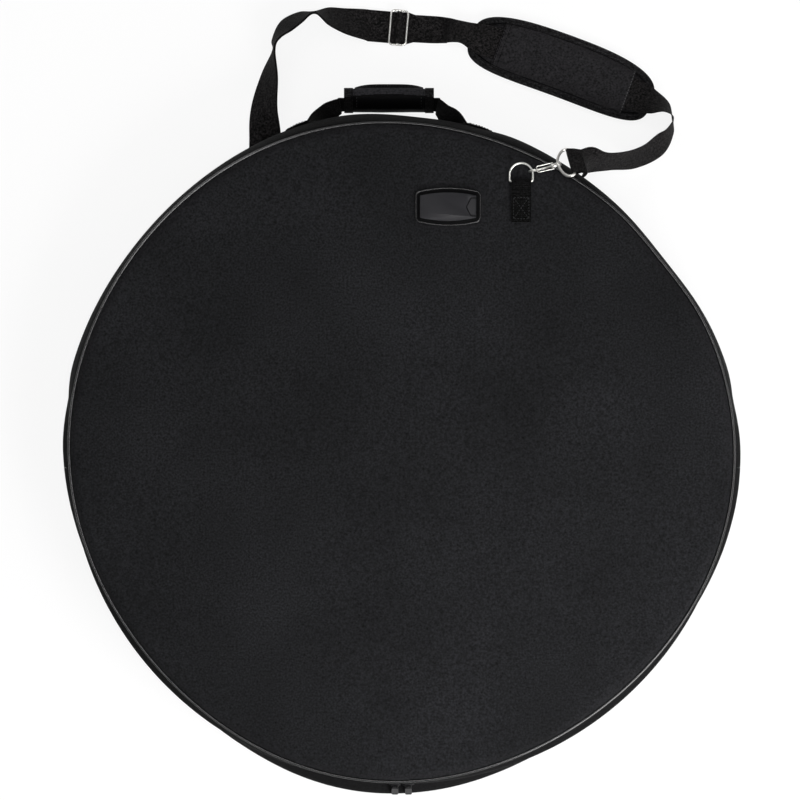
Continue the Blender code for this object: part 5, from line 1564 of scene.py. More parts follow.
grip_stitches = bmesh.new()
for line in (
    flap_line(-0.0385, 0.0385, 66, 66),
    flap_line(-0.0385, -0.0385, 66, 185),
    flap_line(0.0385, 0.0385, 66, 185),
):
    stitch_run(grip_stitches, line, flap_normal)
add_stitches("grip_flap_stitches", grip_stitches, "handle_wrap_flap", "black_vinyl")

# %% [markdown]
# ## D-rings
#
# A D-ring is a bent wire with a straight bar. A short webbing tab is folded round the bar and sewn
# to the panel with a box and a cross.

# %% D-rings and tabs
TAB_WIDTH = 0.023
TAB_LENGTH = 0.048
TAB_THICKNESS = 0.0013
TAB_LAP = 0.012
RING_WIRE = 0.0013
RING_HALF = TAB_WIDTH / 2 + 0.0008 + RING_WIRE
RING_STRAIGHT = 0.0073
RING_DEPTH = 0.021
RING_ARC = RING_DEPTH - RING_STRAIGHT
RING_CORNER = 0.0018
TAB_STACK = GAP + TAB_THICKNESS + GAP + RING_WIRE
HOOK_WIRE = 0.00125
HOOK_EYE = 0.0075
HOOK_HALF = HOOK_EYE / 2 + HOOK_WIRE
HOOK_REACH = 0.0313
HOOK_HOLD_DROP = HOOK_EYE / 2 - 0.0009 - RING_WIRE
BACK_HOOK_HEIGHT = HOOK_HALF + HOOK_WIRE + 0.0004
BACK_LOOP_Y = 0.79 * BAG_RADIUS
LOOP_DEPTH = 0.016


def ring_hold():
    """Where the front hook holds its ring, in the ring's own frame."""
    turn = math.radians(20)
    return Vector((RING_HALF * math.cos(turn), RING_STRAIGHT + RING_ARC * math.sin(turn), 0))


def ring_frames():
    bar_height = BAG_DEPTH + TAB_STACK
    axis_height = BAG_DEPTH + 0.00065 + HOOK_HALF + HOOK_WIRE
    tilt = math.asin((axis_height - HOOK_HOLD_DROP - bar_height) / ring_hold().y)
    front = Matrix.Translation((0.3623 * BAG_RADIUS, 0.8187 * BAG_RADIUS, bar_height))
    front = front @ Matrix.Rotation(tilt, 4, "X")
    back_tilt = math.asin((DENT_DEPTH - TAB_STACK - BACK_HOOK_HEIGHT + HOOK_HOLD_DROP) / RING_DEPTH)
    back_y = BACK_LOOP_Y - LOOP_DEPTH - HOOK_REACH - RING_DEPTH * math.cos(back_tilt)
    back = Matrix.Translation((BACK_X, back_y, DENT_DEPTH - TAB_STACK))
    return front, back @ Matrix.Rotation(-back_tilt, 4, "X")


front_ring_frame, back_ring_frame = ring_frames()


def ring_path():
    points = []
    for start, sign in ((180, -1), (270, 1)):
        centre = sign * (RING_HALF - RING_CORNER)
        for x, y in arc(start, start + 90, 8):
            points.append((centre + RING_CORNER * x, RING_CORNER * (1 + y), 0))
    points += [(RING_HALF * x, RING_STRAIGHT + RING_ARC * y, 0) for x, y in arc(0, 180, 40)]
    return points


def tab_stations(bar, roof, side):
    fold = RING_WIRE + GAP + TAB_THICKNESS / 2
    low = roof + side * (GAP + TAB_THICKNESS / 2)
    upper = low + side * (TAB_THICKNESS + GAP)
    ends = [(bar.y - TAB_LENGTH, low), (bar.y - TAB_LAP, low), (bar.y - TAB_LAP / 2, low)]
    ends += [(bar.y + fold * y, bar.z + side * fold * z) for y, z in arc(-90, 90, 12)]
    ends.append((bar.y - TAB_LAP / 2, bar.z + side * fold))
    ends += [(bar.y - back, upper) for back in (TAB_LAP, TAB_LENGTH * 0.6, TAB_LENGTH)]
    return [(Vector((bar.x, y, z)), Vector((1, 0, 0))) for y, z in ends]


for end_name, ring_frame, roof, side in (
    ("front", front_ring_frame, BAG_DEPTH, 1),
    ("back", back_ring_frame, DENT_DEPTH, -1),
):
    ring_bm = placed(tube(ring_path(), RING_WIRE, 16, True), ring_frame)
    ring = new_object(f"{end_name}_d_ring", ring_bm)
    finish_piece(ring, f"{end_name}_ring", "bright_nickel", f"{end_name}_ring")
    bar = ring_frame.translation
    tab_bm = band(tab_stations(bar, roof, side), TAB_WIDTH, TAB_THICKNESS, turned=True)
    tab = new_object(f"{end_name}_tab", tab_bm)
    finish_piece(tab, "bag", "black_webbing", f"{end_name}_ring_tab", materials=("dark_webbing",))
    top = roof + side * (GAP * 2 + TAB_THICKNESS * 2)

    def tab_face(x, y, bar=bar, top=top, side=side):
        return Vector((bar.x + x, bar.y - 0.0315 + y, top)), Vector((0, 0, side))

    tab_stitches = bmesh.new()
    stitch_box(tab_stitches, tab_face, 0.009, 0.0125)
    add_stitches(f"{end_name}_tab_stitches", tab_stitches, "bag", "black_webbing")

# %% [markdown]
# ## Wire snap hooks
#
# Each end of the shoulder strap has a hook bent from one wire. A turned barrel joins the hook to a
# wide wire loop for the strap, and lets it swivel. A thin spring gate closes the hook's mouth.

# %% Hook frames
COLLAR_RADIUS = 0.0034
COLLAR_LENGTH = 0.0036
BARREL_LENGTH = 0.0065
BARREL_RADIUS = 0.0027
PIN_RADIUS = 0.0014
STRAP_WIDTH = 0.038
LOOP_WIRE = 0.0017
LOOP_HALF = STRAP_WIDTH / 2 + 0.0022
LOOP_SHIFT = -0.0022

hook_turn = Matrix.Rotation(math.radians(13), 4, "Z") @ Matrix.Rotation(math.radians(-8), 4, "Y")
held = front_ring_frame @ ring_hold()
# The hook sits a little high on the ring, so that the ring can tilt inside it
hook_seat = Vector((HOOK_REACH, -0.0001, HOOK_HOLD_DROP + 0.0001))
front_hook_frame = Matrix.Translation(held + hook_turn.to_3x3() @ hook_seat) @ hook_turn
loop_turn = Matrix.Rotation(math.radians(5), 4, "Z") @ Matrix.Rotation(math.radians(-38), 4, "X")
front_loop_frame = front_hook_frame @ loop_turn
back_hook_frame = Matrix.Translation(
    (BACK_X, BACK_LOOP_Y - LOOP_DEPTH, BACK_HOOK_HEIGHT)
) @ Matrix.Rotation(math.radians(90), 4, "Z")


# %% Hook parts
def loop_mesh(turn):
    """The wire loop, turned about its collar. The collar stays in line with the pin."""
    side = [(0, COLLAR_RADIUS - HOOK_WIRE), (0.0008, LOOP_HALF * 0.4), (0.004, LOOP_HALF * 0.78)]
    side += [(0.0088, LOOP_HALF), (LOOP_DEPTH, LOOP_HALF)]
    points = [(x, y + LOOP_SHIFT * min(x / 0.004, 1), 0) for x, y in side]
    points += [(x, LOOP_SHIFT * min(x / 0.004, 1) - y, 0) for x, y in reversed(side)]
    bm = tube(rounded_path(points, 0.0045), LOOP_WIRE, 14)
    bore, half = PIN_RADIUS + GAP, COLLAR_LENGTH / 2
    profile = [
        (-half, bore),
        (-half, COLLAR_RADIUS * 0.88),
        (-half * 0.7, COLLAR_RADIUS),
        (half * 0.7, COLLAR_RADIUS),
        (half, COLLAR_RADIUS * 0.88),
        (half, bore),
        (-half, bore),
    ]
    return add_part(bm, placed(lathe(profile), turn.inverted()))


def hook_mesh():
    tip = -(HOOK_REACH + RING_WIRE + 0.0009 + HOOK_WIRE)
    centre = tip + HOOK_HALF
    start = -COLLAR_LENGTH / 2 - BARREL_LENGTH / 2
    bend = start - BARREL_LENGTH / 2
    points = rounded_path(
        [
            (start, 0, 0),
            (bend, 0, -HOOK_HALF * 0.35),
            (-0.0135, 0, -HOOK_HALF),
            (centre, 0, -HOOK_HALF),
        ],
        0.004,
    )
    points += [Vector((centre + HOOK_HALF * x, 0, HOOK_HALF * z)) for x, z in arc(270, 90, 28)[1:]]
    points.append(Vector((centre + 0.0026, 0, HOOK_HALF)))
    bm = tube(points, HOOK_WIRE, 14, flat=(0, 1, 0))
    back, front = -COLLAR_LENGTH / 2 - GAP, COLLAR_LENGTH / 2 + GAP
    profile = [
        (back - BARREL_LENGTH, 0),
        (back - BARREL_LENGTH, BARREL_RADIUS * 0.75),
        (back - BARREL_LENGTH * 0.85, BARREL_RADIUS),
        (back - BARREL_LENGTH * 0.55, BARREL_RADIUS),
        (back - BARREL_LENGTH * 0.5, BARREL_RADIUS * 0.86),
        (back - BARREL_LENGTH * 0.45, BARREL_RADIUS),
        (back - 0.0004, BARREL_RADIUS),
        (back, BARREL_RADIUS * 0.88),
        (back, PIN_RADIUS),
        (front, PIN_RADIUS),
        (front, 0.0023),
        (front + 0.0004, 0.0025),
        (front + 0.001, 0.0021),
        (front + 0.0014, 0.0009),
        (front + 0.0014, 0),
    ]
    return add_part(bm, lathe(profile))


def gate_mesh():
    wire = 0.0006
    half = BARREL_RADIUS + GAP + wire
    height = HOOK_EYE / 2 - GAP - wire
    points = [(0, -half, 0), (-0.0065, -half, height * 0.5), (-0.0195, -half, height)]
    points += [(x, -y, z) for x, y, z in reversed(points)]
    return tube(rounded_path(points, 0.0022), wire, 10)


for end_name, hook_frame, turn in (
    ("front", front_hook_frame, loop_turn),
    ("back", back_hook_frame, Matrix.Identity(4)),
):
    loop = new_object(f"{end_name}_strap_loop", placed(loop_mesh(turn), hook_frame @ turn))
    finish_piece(loop, "bag", "bright_nickel", f"{end_name}_hook_loop")
    hook = new_object(f"{end_name}_snap_hook", placed(hook_mesh(), hook_frame))
    finish_piece(hook, f"{end_name}_hook", "bright_nickel", f"{end_name}_hook")
    pivot = hook_frame @ Matrix.Translation((-COLLAR_LENGTH / 2 - BARREL_LENGTH * 0.6, 0, 0))
    gate = new_object(f"{end_name}_gate", placed(gate_mesh(), pivot))
    finish_piece(gate, f"{end_name}_hook_gate", "bright_nickel", f"{end_name}_hook_gate")
print("front hook sits at", [round(value, 4) for value in front_hook_frame.translation])

# %% [markdown]
# ## Card holder
#
# A vinyl pocket is welded to the front, with a clear window and a slot at its right end for a card.
# Welding leaves two pressed lines round the border. The border is a profile swept round the bowed
# outline, and the profile's dips are those lines.

# %% Card holder
HOLDER_X = 0.1406 * BAG_RADIUS
HOLDER_Y = 0.7414 * BAG_RADIUS
HOLDER_WIDTH = 0.077
HOLDER_HEIGHT = 0.045
HOLDER_BULGE = 0.0035
HOLDER_CORNER = 0.007
HOLDER_BORDER = 0.0055
HOLDER_TOP = BAG_DEPTH + GAP + 0.0008
CARD_HEIGHT = HOLDER_TOP + GAP
WINDOW_HEIGHT = CARD_HEIGHT + 0.0005 + GAP
FRAME_TOP = WINDOW_HEIGHT + 0.0011
MOUTH_HALF = HOLDER_HEIGHT / 2 - HOLDER_BULGE - HOLDER_CORNER
holder_frame = Matrix.Translation((HOLDER_X, HOLDER_Y, 0))


def holder_outline(inset):
    """Rounded corners, with the long sides bowed outward."""
    half_x = HOLDER_WIDTH / 2 - inset
    half_y = HOLDER_HEIGHT / 2 - HOLDER_BULGE - inset
    corner = max(HOLDER_CORNER - inset, 0.0012)
    points = []
    for sign_x, sign_y, start in ((1, 1, 0), (-1, 1, 90), (-1, -1, 180), (1, -1, 270)):
        for degrees in spread(start, start + 90, 8):
            turn = math.radians(degrees)
            x = sign_x * (half_x - corner) + corner * math.cos(turn)
            y = sign_y * (half_y - corner) + corner * math.sin(turn)
            points.append((x, y))
        run = half_x - corner
        if sign_x * sign_y > 0:
            for share in spread(1, -1, 24)[1:-1]:
                y = sign_y * (half_y + HOLDER_BULGE * (1 - share * share))
                points.append((sign_x * run * share, y))
        else:
            side_run = half_y - corner
            shares = spread(1, -1, 12)[1:-1]
            points += [(sign_x * half_x, sign_y * side_run * share) for share in shares]
    return points


def swept_border(profile, columns=None):
    """Carry a closed profile of (inset, height) round the outline, or round part of it."""
    outlines = [holder_outline(inset) for inset, height in profile]
    count = len(outlines[0])
    chosen = list(range(count + 1)) if columns is None else columns

    def place(column, row):
        row %= len(profile)
        x, y = outlines[row][chosen[column] % count]
        return (x, y, profile[row][1])

    def flat(column, row):
        return (column, row)

    return close_ends(sheet(len(chosen) - 1, len(profile), place, flat, closed=True))


def raised_plate(points, low, high, edge):
    """A plate with the given outline and a rounded top edge."""
    bm = bmesh.new()
    bm.faces.new([bm.verts.new((x, y, low)) for x, y in points])
    thicken(bm, lambda point: Vector((0, 0, high - low)))
    rim = [item for item in bm.edges if all(vert.co.z > (low + high) / 2 for vert in item.verts)]
    bevel(bm, rim, edge)
    return bm


VALLEY = 0.0007
MOUTH_SIDE = HOLDER_WIDTH / 2 - 0.001
top = FRAME_TOP
bead_profile = [
    (0.0, WINDOW_HEIGHT),
    (0.0, top - 0.0006),
    (0.0003, top - 0.0002),
    (0.0009, top),
    (0.0015, top - 0.0002),
    (0.0018, top - 0.0006),
    (0.0018, WINDOW_HEIGHT),
]
border_profile = [
    (0.0018, WINDOW_HEIGHT),
    (0.0018, top - VALLEY),
    (0.0046, top - VALLEY),
    (0.005, top - 0.0004),
    (HOLDER_BORDER, top - 0.0004),
    (HOLDER_BORDER, WINDOW_HEIGHT),
]
wall_profile = [
    (0.0, HOLDER_TOP),
    (0.0, WINDOW_HEIGHT),
    (0.0042, WINDOW_HEIGHT),
    (0.0042, HOLDER_TOP),
]
outline = holder_outline(0)
count = len(outline)
mouth = [index for index, (x, y) in enumerate(outline) if x > MOUTH_SIDE and abs(y) < MOUTH_HALF]
wall_columns = [index % count for index in range(max(mouth) + 1, min(mouth) + count)]

holder_bm = raised_plate(outline, BAG_DEPTH + GAP, HOLDER_TOP, 0.0002)
add_part(holder_bm, swept_border(border_profile))
add_part(holder_bm, swept_border(wall_profile, wall_columns))
holder = new_object("card_pocket", placed(holder_bm, holder_frame))
finish_piece(holder, "bag", "black_vinyl", "card_holder_base", "card_holder_frame")
bead = new_object("card_pocket_bead", placed(swept_border(bead_profile), holder_frame))
finish_piece(bead, "bag", "black_vinyl", materials=("black_piping",))

# %% [markdown]
# The window is die-cut at its right end, where a thumb pushes the card out. The notch is part of
# the window's outline, so its edge catches the light as the real one does.

# %% Window and card
NOTCH = ((0.0327, -0.011), (0.0269, -0.011), (0.0214, -0.0004), (0.0269, 0.0103), (0.0327, 0.0103))


def window_outline():
    points = holder_outline(HOLDER_BORDER + GAP)
    return [(x, y) for x, y in points if x <= 0.032 or abs(y) >= 0.0115] + list(NOTCH)


window_bm = raised_plate(window_outline(), WINDOW_HEIGHT, WINDOW_HEIGHT + 0.0006, 0.0004)
window = new_object("card_window", placed(window_bm, holder_frame))
finish_piece(window, "bag", "clear_window", "card_holder_window")

notch_line = rounded_path([(x, y, WINDOW_HEIGHT + 0.0006) for x, y in NOTCH], 0.0015, 4)
notch_rim = new_object("card_window_notch", placed(tube(notch_line, 0.00045, 8), holder_frame))
finish_piece(notch_rim, "bag", "black_vinyl")

card_half = HOLDER_WIDTH / 2 - HOLDER_BORDER + 0.0008
card_bm = rounded_block(
    (-card_half, -MOUTH_HALF + GAP, CARD_HEIGHT),
    (card_half, MOUTH_HALF - GAP, CARD_HEIGHT + 0.0005),
    0.001,
    0.0001,
)
card = new_object("blank_card", placed(card_bm, holder_frame))
finish_piece(card, "name_card", "dark_card", "name_card")

# %% [markdown]
# ## Shoulder strap
#
# The strap is one long webbing. It starts round the back hook's loop under the bag, comes out at
# the top left, stands on its edge round the turn, and lies down again where it is doubled up to
# the slider. Past the slider it runs through the pad and twists down to the front hook. Each
# station has its own roll, so the twists come from the stations and need no separate bend.

# %% Strap route
STRAP_THICKNESS = 0.0014
STRAP_FLOOR = GAP + STRAP_THICKNESS / 2
STRAP_FOLD = 0.014
FRONT_FOLD_BEND = 0.0065
FOLD_RADIUS = LOOP_WIRE + GAP + STRAP_THICKNESS / 2
LAYER_OFFSET = (STRAP_THICKNESS + GAP) / 2
STRAP_STEPS = 10
SLIDER_DEPTH = 0.023
PAD_LENGTH = 0.232
PAD_WIDTH = 0.0755
PAD_BOW = 0.0046
PAD_DROOP = 0.0016
PAD_TOP = 0.0081
PAD_STRAP = PAD_TOP + GAP + STRAP_THICKNESS / 2

strap_slider_frame = Matrix.Translation(
    (-0.0099 * BAG_RADIUS, 1.3174 * BAG_RADIUS, 0)
) @ Matrix.Rotation(math.radians(-5), 4, "Z")
pad_frame = Matrix.Translation((0.5003 * BAG_RADIUS, 1.1935 * BAG_RADIUS, 0)) @ Matrix.Rotation(
    math.radians(-20), 4, "Z"
)

# x and y in shares of the bag's radius, then the roll in degrees
LEFT_ROUTE = (
    (-0.428, 0.865, 0),
    (-0.428, 0.912, 0),
    (-0.427, 0.975, 0),
    (-0.426, 1.068, -34),
    (-0.409, 1.163, -57),
    (-0.395, 1.243, -84),
    (-0.388, 1.276, -74),
    (-0.357, 1.317, -58),
    (-0.314, 1.343, -64),
    (-0.272, 1.357, -80),
    (-0.227, 1.347, -52),
    (-0.178, 1.335, -34),
    (-0.116, 1.327, -12),
)
# x, y, lift of the low edge, roll
RIGHT_ROUTE = (
    (0.824, 1.063, 0.004, -64),
    (0.843, 1.029, 0.0, -86),
    (0.834, 0.989, 0.0, -72),
    (0.802, 0.948, 0.002, -54),
    (0.738, 0.909, 0.03, -58),
    (0.663, 0.890, 0.085, -66),
    (0.588, 0.878, 0.150, -57),
)


def rolled_width(tangent, degrees):
    left = Vector((-tangent.y, tangent.x, 0)).normalized()
    roll = math.radians(degrees)
    return left * math.cos(roll) + tangent.cross(left).normalized() * math.sin(roll)


def route_stations(before, knots, after):
    places = [before] + [place for place, roll in knots] + [after]
    stations = []
    for index, (place, roll) in enumerate(knots):
        tangent = (places[index + 2] - places[index]).normalized()
        stations.append((place, rolled_width(tangent, roll)))
    return stations


def edge_lift(roll):
    return STRAP_FLOOR + STRAP_WIDTH / 2 * abs(math.sin(math.radians(roll)))


def off_floor(stations):
    result = []
    for place, width in stations:
        low = STRAP_FLOOR + STRAP_WIDTH / 2 * abs(width.z)
        result.append((Vector((place.x, place.y, max(place.z, low))), width))
    return result


def fold_end(loop, height, bend=0.0, reach=STRAP_FOLD):
    """A place on the folded strap past the loop. It bends aside by bend on its way."""
    aside = LOOP_SHIFT - bend * (reach / STRAP_FOLD) ** 2
    return loop @ Vector((LOOP_DEPTH + reach, aside, height))


def loop_fold(loop, bend=0.0):
    """The strap's bend round a loop's bar, from its upper layer to its lower one."""
    width = (loop.to_3x3() @ Vector((0, 1, 0))).normalized()
    places = [fold_end(loop, LAYER_OFFSET, bend, STRAP_FOLD / 2)]
    for x, z in arc(90, 270, 14):
        places.append(loop @ Vector((LOOP_DEPTH + FOLD_RADIUS * x, LOOP_SHIFT, FOLD_RADIUS * z)))
    places += [fold_end(loop, -LAYER_OFFSET, bend, reach) for reach in (STRAP_FOLD / 2, STRAP_FOLD)]
    return [(place, width) for place in places]


def left_stations():
    first = fold_end(back_hook_frame, -LAYER_OFFSET)
    knots = []
    for x, y, roll in LEFT_ROUTE:
        knots.append((Vector((x * BAG_RADIUS, y * BAG_RADIUS, edge_lift(roll))), roll))
    run_start = strap_slider_frame @ Vector((-SLIDER_DEPTH / 2 - 0.024, 0, STRAP_FLOOR))
    run_end = strap_slider_frame @ Vector((-SLIDER_DEPTH / 2 - GAP, 0, STRAP_FLOOR))
    knots.append((run_start, 0))
    stations = route_stations(first, knots, run_end)
    start_width = (back_hook_frame.to_3x3() @ Vector((0, 1, 0))).normalized()
    smooth = smooth_stations([(first, start_width)] + stations, STRAP_STEPS)
    return off_floor(smooth), (run_end, stations[-1][1])


def right_stations(leave):
    knots = []
    for x, y, lift, roll in RIGHT_ROUTE:
        height = edge_lift(roll) + lift * BAG_RADIUS
        knots.append((Vector((x * BAG_RADIUS, y * BAG_RADIUS, height)), roll))
    last = fold_end(front_loop_frame, LAYER_OFFSET, FRONT_FOLD_BEND)
    stations = route_stations(leave[0], knots, last)
    width = (front_loop_frame.to_3x3() @ Vector((0, -1, 0))).normalized()
    return off_floor(smooth_stations([leave] + stations + [(last, width)], STRAP_STEPS))


# %% Strap webbing
left, run_end = left_stations()
slider_width = strap_slider_frame.to_3x3() @ Vector((0, 1, 0))
run_out = strap_slider_frame @ Vector((SLIDER_DEPTH / 2 + 0.040, 0.0022, STRAP_FLOOR))
pad_half = PAD_LENGTH / 2


def pad_bow(x):
    """How far the pad's middle line is bowed sideways."""
    share = min(max(x / pad_half, -1.0), 1.0)
    return PAD_BOW * (0.48 - share * share) - PAD_DROOP * max(share, 0.0) ** 2


def bowed(bm):
    for vert in bm.verts:
        vert.co.y += pad_bow(vert.co.x)
    return bm


def on_pad(reach, aside=0.0, roll=0.0, height=PAD_STRAP):
    """A station along the pad, rolled about the strap's length."""
    tangent = pad_frame.to_3x3() @ Vector((1, 0, 0))
    lift = STRAP_WIDTH / 2 * abs(math.sin(math.radians(roll)))
    place = pad_frame @ Vector((reach, aside + pad_bow(reach), height + lift))
    return place, rolled_width(tangent, roll)


# The strap climbs from the floor onto the pad in one soft bend, and starts its turn over the pad's
# far end
onto_pad = [
    on_pad(-pad_half - 0.023, -0.0022),
    on_pad(-pad_half - 0.009, 0.0010),
    on_pad(-pad_half + 0.008),
    on_pad(-pad_half + 0.03),
]
off_pad = [
    on_pad(pad_half - 0.03),
    on_pad(pad_half - 0.013, 0.0, -13),
    on_pad(pad_half + 0.003, 0.0, -38),
]
leave = off_pad[-1]
climb = smooth_stations([run_end, (run_out, slider_width)] + onto_pad, STRAP_STEPS)
over_pad = [on_pad(reach) for reach in spread(-pad_half + 0.03, pad_half - 0.03, 30)[:-1]]
turn_off = smooth_stations(off_pad, STRAP_STEPS)
middle = climb[:-1] + over_pad + turn_off[:-1]
back_fold = loop_fold(back_hook_frame)
front_fold = [(place, -width) for place, width in loop_fold(front_loop_frame, FRONT_FOLD_BEND)]
route = back_fold[:-1] + left + middle[1:] + right_stations(leave) + front_fold
PINCH = pad_frame @ Vector((-pad_half - 0.011, 0, 0))
SLIDER_RIGHT = (strap_slider_frame @ Vector((SLIDER_DEPTH / 2, 0, 0))).x


def strap_crease(centre):
    """Creases, a gather where the strap goes under the sleeve, and calm inside the slider."""
    near = math.exp(-(((centre.xy - PINCH.xy).length / 0.017) ** 2))
    wavy = math.exp(-(((centre.xy - run_out.xy).length / 0.024) ** 2))
    past_slider = smooth_share((centre.x - SLIDER_RIGHT) / 0.008)
    gathered = 0.13 * past_slider * (1 - smooth_share((centre.x - run_out.x) / 0.024))
    return 0.00012 + 0.0014 * wavy + 0.0004 * near, gathered + 0.3 * near, 0.0075 * near


strap = new_object("shoulder_strap", band(route, STRAP_WIDTH, STRAP_THICKNESS, 12, strap_crease))
finish_piece(strap, "bag", "black_webbing", "strap_webbing")

chain = left + [run_end]
second = []
for (place, width), normal in zip(chain, station_normals(chain)):
    second.append((place + normal * (STRAP_THICKNESS + GAP), width))
strap_second = new_object("shoulder_strap_doubled", band(second, STRAP_WIDTH, STRAP_THICKNESS, 12))
finish_piece(strap_second, None, "black_webbing", "strap_return_webbing")
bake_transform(strap_second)
print("strap stations:", len(route))

# %% [markdown]
# ## Strap slider
#
# The slider is a bright wire rectangle with a bar across its middle. The sewn end of the webbing
# goes round that bar, and makes the dark hump in the middle of the slider.

# %% Strap slider
SLIDER_WIRE = 0.0013
BAR_LOOP = 0.0013
feet_top = STRAP_FLOOR + STRAP_THICKNESS / 2 + GAP + BAR_LOOP
slider_height = feet_top + GAP * 2 + SLIDER_WIRE
half_x = SLIDER_DEPTH / 2 - SLIDER_WIRE
half_y = STRAP_WIDTH / 2 + GAP + SLIDER_WIRE
corners = [(half_x, half_y), (-half_x, half_y), (-half_x, -half_y), (half_x, -half_y)]
ring_points = rounded_path([(x, y, slider_height) for x, y in corners], 0.005, 10, cyclic=True)
slider_bm = tube(ring_points, SLIDER_WIRE, 14, cyclic=True)
bar_points = [(0, y, slider_height) for y in spread(-half_y, half_y, 6)]
add_part(slider_bm, tube(bar_points, SLIDER_WIRE, 14))
strap_slider = new_object("strap_adjuster", placed(slider_bm, strap_slider_frame))
finish_piece(strap_slider, "strap_slider", "bright_nickel", "strap_slider")

over = SLIDER_WIRE + GAP + BAR_LOOP / 2
low = feet_top - BAR_LOOP / 2
foot = SLIDER_DEPTH / 2 - GAP
arch = [(over * x, slider_height + over * z) for x, z in arc(180, 0, 14)]
places = [(-foot, low), (-over * 2.2, low), (-over * 1.4, low + 0.0007)] + arch
places += [(over * 1.4, low + 0.0007), (over * 2.2, low), (foot, low)]
stations = [(Vector((x, 0, z)), Vector((0, 1, 0))) for x, z in places]
bar_loop_bm = placed(band(stations, STRAP_WIDTH, BAR_LOOP), strap_slider_frame)
bar_loop = new_object("adjuster_webbing", bar_loop_bm)
finish_piece(bar_loop, "strap_slider", "black_webbing", "strap_bar_loop")

# %% [markdown]
# ## Shoulder pad
#
# The pad is a soft block with a crowned top, bound round its edge with tape. A sleeve of the same
# cloth is sewn down over the strap. It has fine creases across it, because the pad was bent over a
# shoulder. The foam is closed cell, so the edge stays full.

# %% Pad
PAD_POWER = 3.5


def pad_outline(inset, count=120):
    points = []
    for index in range(count):
        turn = math.tau * index / count
        x = math.copysign(abs(math.cos(turn)) ** (2 / PAD_POWER), math.cos(turn))
        y = math.copysign(abs(math.sin(turn)) ** (2 / PAD_POWER), math.sin(turn))
        points.append(((PAD_LENGTH / 2 - inset) * x, (PAD_WIDTH / 2 - inset) * y))
    return points


def pad_crown(x, y, share):
    """Height of the pad's top over the floor: a full middle and a rounded edge."""
    crease = 0.0005 * ripple(x, y * 0.35, 0.2, 0.011) + 0.0004 * ripple(x, y, 0.8, 0.03)
    edge = 1 - 0.34 * smooth_share((share - 0.72) / 0.28) ** 1.5
    return PAD_TOP * edge - 0.0002 + crease * (1 - share**6) - 0.0004


def pad_mesh():
    rim = pad_outline(0.002)
    shares = spread(0, 0.8, 14) + spread(0.8, 1, 8)[1:]

    def place(column, row):
        x, y = rim[column % len(rim)]
        x, y = x * shares[row], y * shares[row]
        return Vector((x, y, pad_crown(x, y, shares[row])))

    bm = sheet(len(rim), len(shares) - 1, place, lambda column, row: (0, 0), closed=True)
    flat_from_above(bm)
    thicken(bm, lambda point: Vector((0, 0, 0.0006 - point.z)), inner_material=1)
    return bm


pad = new_object("pad_cushion", placed(bowed(pad_mesh()), pad_frame))
pad_nodes = ("pad_foam", "pad_cover", "pad_lining")
finish_piece(pad, "pad", "pad_cloth", *pad_nodes, materials=("pad_cloth", "black_lining"))


def swept_outline(outline_at, profile):
    """Carry a closed profile of (inset, height) round a closed outline."""
    outlines = [outline_at(inset) for inset, height in profile]
    count = len(outlines[0])

    def place(column, row):
        row %= len(profile)
        x, y = outlines[row][column % count]
        return (x, y, profile[row][1])

    def flat(column, row):
        return (column * 0.005, row * 0.001)

    return sheet(count, len(profile), place, flat, closed=True)


TAPE_REACH = 0.0082
TAPE_TOP = PAD_TOP - 0.0002

binding_profile = []
for x, y in arc(0, 360, 20)[:-1]:
    side = math.copysign(abs(x) ** 0.6, x)
    rise = math.copysign(abs(y) ** 0.6, y)
    binding_profile.append((TAPE_REACH / 2 * (1 - side), 0.0003 + TAPE_TOP / 2 * (1 + rise)))
tape_bm = bowed(swept_outline(pad_outline, binding_profile))
binding = new_object("pad_edge_tape", placed(tape_bm, pad_frame))
finish_piece(binding, "pad", "black_webbing", "pad_binding", materials=("pad_tape",))

# A dark tube lies in the groove between the edge tape and the sleeve, as painted shade
groove_line = [(x, y, TAPE_TOP + 0.0002) for x, y in pad_outline(0.0085)]
groove_bm = bowed(tube(groove_line, 0.0006, 8, cyclic=True))
groove = new_object("pad_groove_painted_shade", placed(groove_bm, pad_frame))
finish_piece(groove, "pad", "black_webbing", materials=("black_vinyl",))

# %% Pad sleeve
SLEEVE_LEFT = -0.081
SLEEVE_RIGHT = 0.0855
SLEEVE_TUCK = 0.0066
SLEEVE_SEAM = PAD_WIDTH / 2 - 0.0105
SLEEVE_ROOF = PAD_STRAP + STRAP_THICKNESS / 2 + GAP


def sleeve_edge(x):
    """How far across the sleeve reaches: just under the pad's edge tape."""
    share = abs(x) / (PAD_LENGTH / 2)
    return PAD_WIDTH / 2 * (1 - share**PAD_POWER) ** (1 / PAD_POWER) - SLEEVE_TUCK


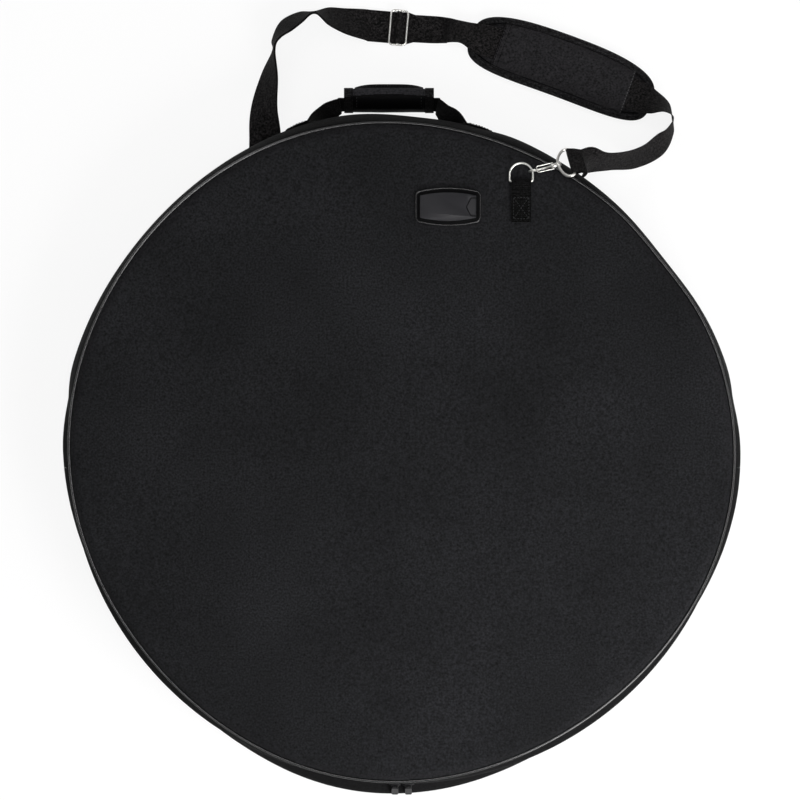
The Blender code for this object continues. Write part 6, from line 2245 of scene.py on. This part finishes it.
def sleeve_height(x, y):
    reach = abs(y)
    flat_half = STRAP_WIDTH / 2 + GAP * 2
    seat = PAD_TOP + GAP - 0.0004 - 0.0018 * smooth_share((reach - sleeve_edge(x) + 0.003) / 0.003)
    if reach < flat_half:
        height = SLEEVE_ROOF
    else:
        share = smooth_share((reach - flat_half) / (SLEEVE_SEAM - flat_half))
        height = blend(SLEEVE_ROOF, seat, share)
    ends = smooth_share(min(x - SLEEVE_LEFT, SLEEVE_RIGHT - x) / 0.012)
    loose = 1 - smooth_share((reach - 0.022) / 0.008)
    crease = 0.0013 * ripple(x, y * 0.3, 0.5, 0.012) + 0.0008 * ripple(x, y, 0.9, 0.03)
    return height + max(crease, -0.0001) * ends * (0.3 + 0.7 * loose)


def sleeve_place(column, row):
    x = blend(SLEEVE_LEFT, SLEEVE_RIGHT, column / 90)
    y = blend(-sleeve_edge(x), sleeve_edge(x), row / 36)
    return Vector((x, y, sleeve_height(x, y)))


sleeve_bm = sheet(
    90,
    36,
    sleeve_place,
    lambda column, row: (column * 0.0018, row * 0.0018),
    lambda point: Vector((0, 0, 0.001)),
)
sleeve = new_object("pad_cover_sleeve", placed(bowed(soften_edges(sleeve_bm, 0.0003)), pad_frame))
finish_piece(sleeve, "pad", "pad_cloth", "pad_sleeve")

pad_stitches = bmesh.new()
pad_up = Vector((0, 0, 1))


def sleeve_line(start, end):
    points = []
    for share in spread(0, 1, 60):
        x, y = blend(start[0], end[0], share), blend(start[1], end[1], share)
        points.append(pad_frame @ Vector((x, y + pad_bow(x), sleeve_height(x, y) + 0.001)))
    return points


for x in (SLEEVE_LEFT + 0.0012, SLEEVE_LEFT + 0.0068):
    stitch_run(pad_stitches, sleeve_line((x, -SLEEVE_SEAM), (x, SLEEVE_SEAM)), pad_up, 1.9)
rim_line = pad_outline(0.0062, 240)
rim_points = [pad_frame @ Vector((x, y + pad_bow(x), TAPE_TOP)) for x, y in rim_line]
stitch_run(pad_stitches, rim_points + rim_points[:1], pad_up)
add_stitches("pad_stitches", pad_stitches, "pad", "pad_cloth", "black_vinyl")
edge_stitches = bmesh.new()
x = SLEEVE_RIGHT - 0.0012
stitch_run(edge_stitches, sleeve_line((x, -SLEEVE_SEAM), (x, SLEEVE_SEAM)), pad_up, 1.3)
add_stitches("pad_edge_stitches", edge_stitches, "pad", "pad_cloth", "light_thread")
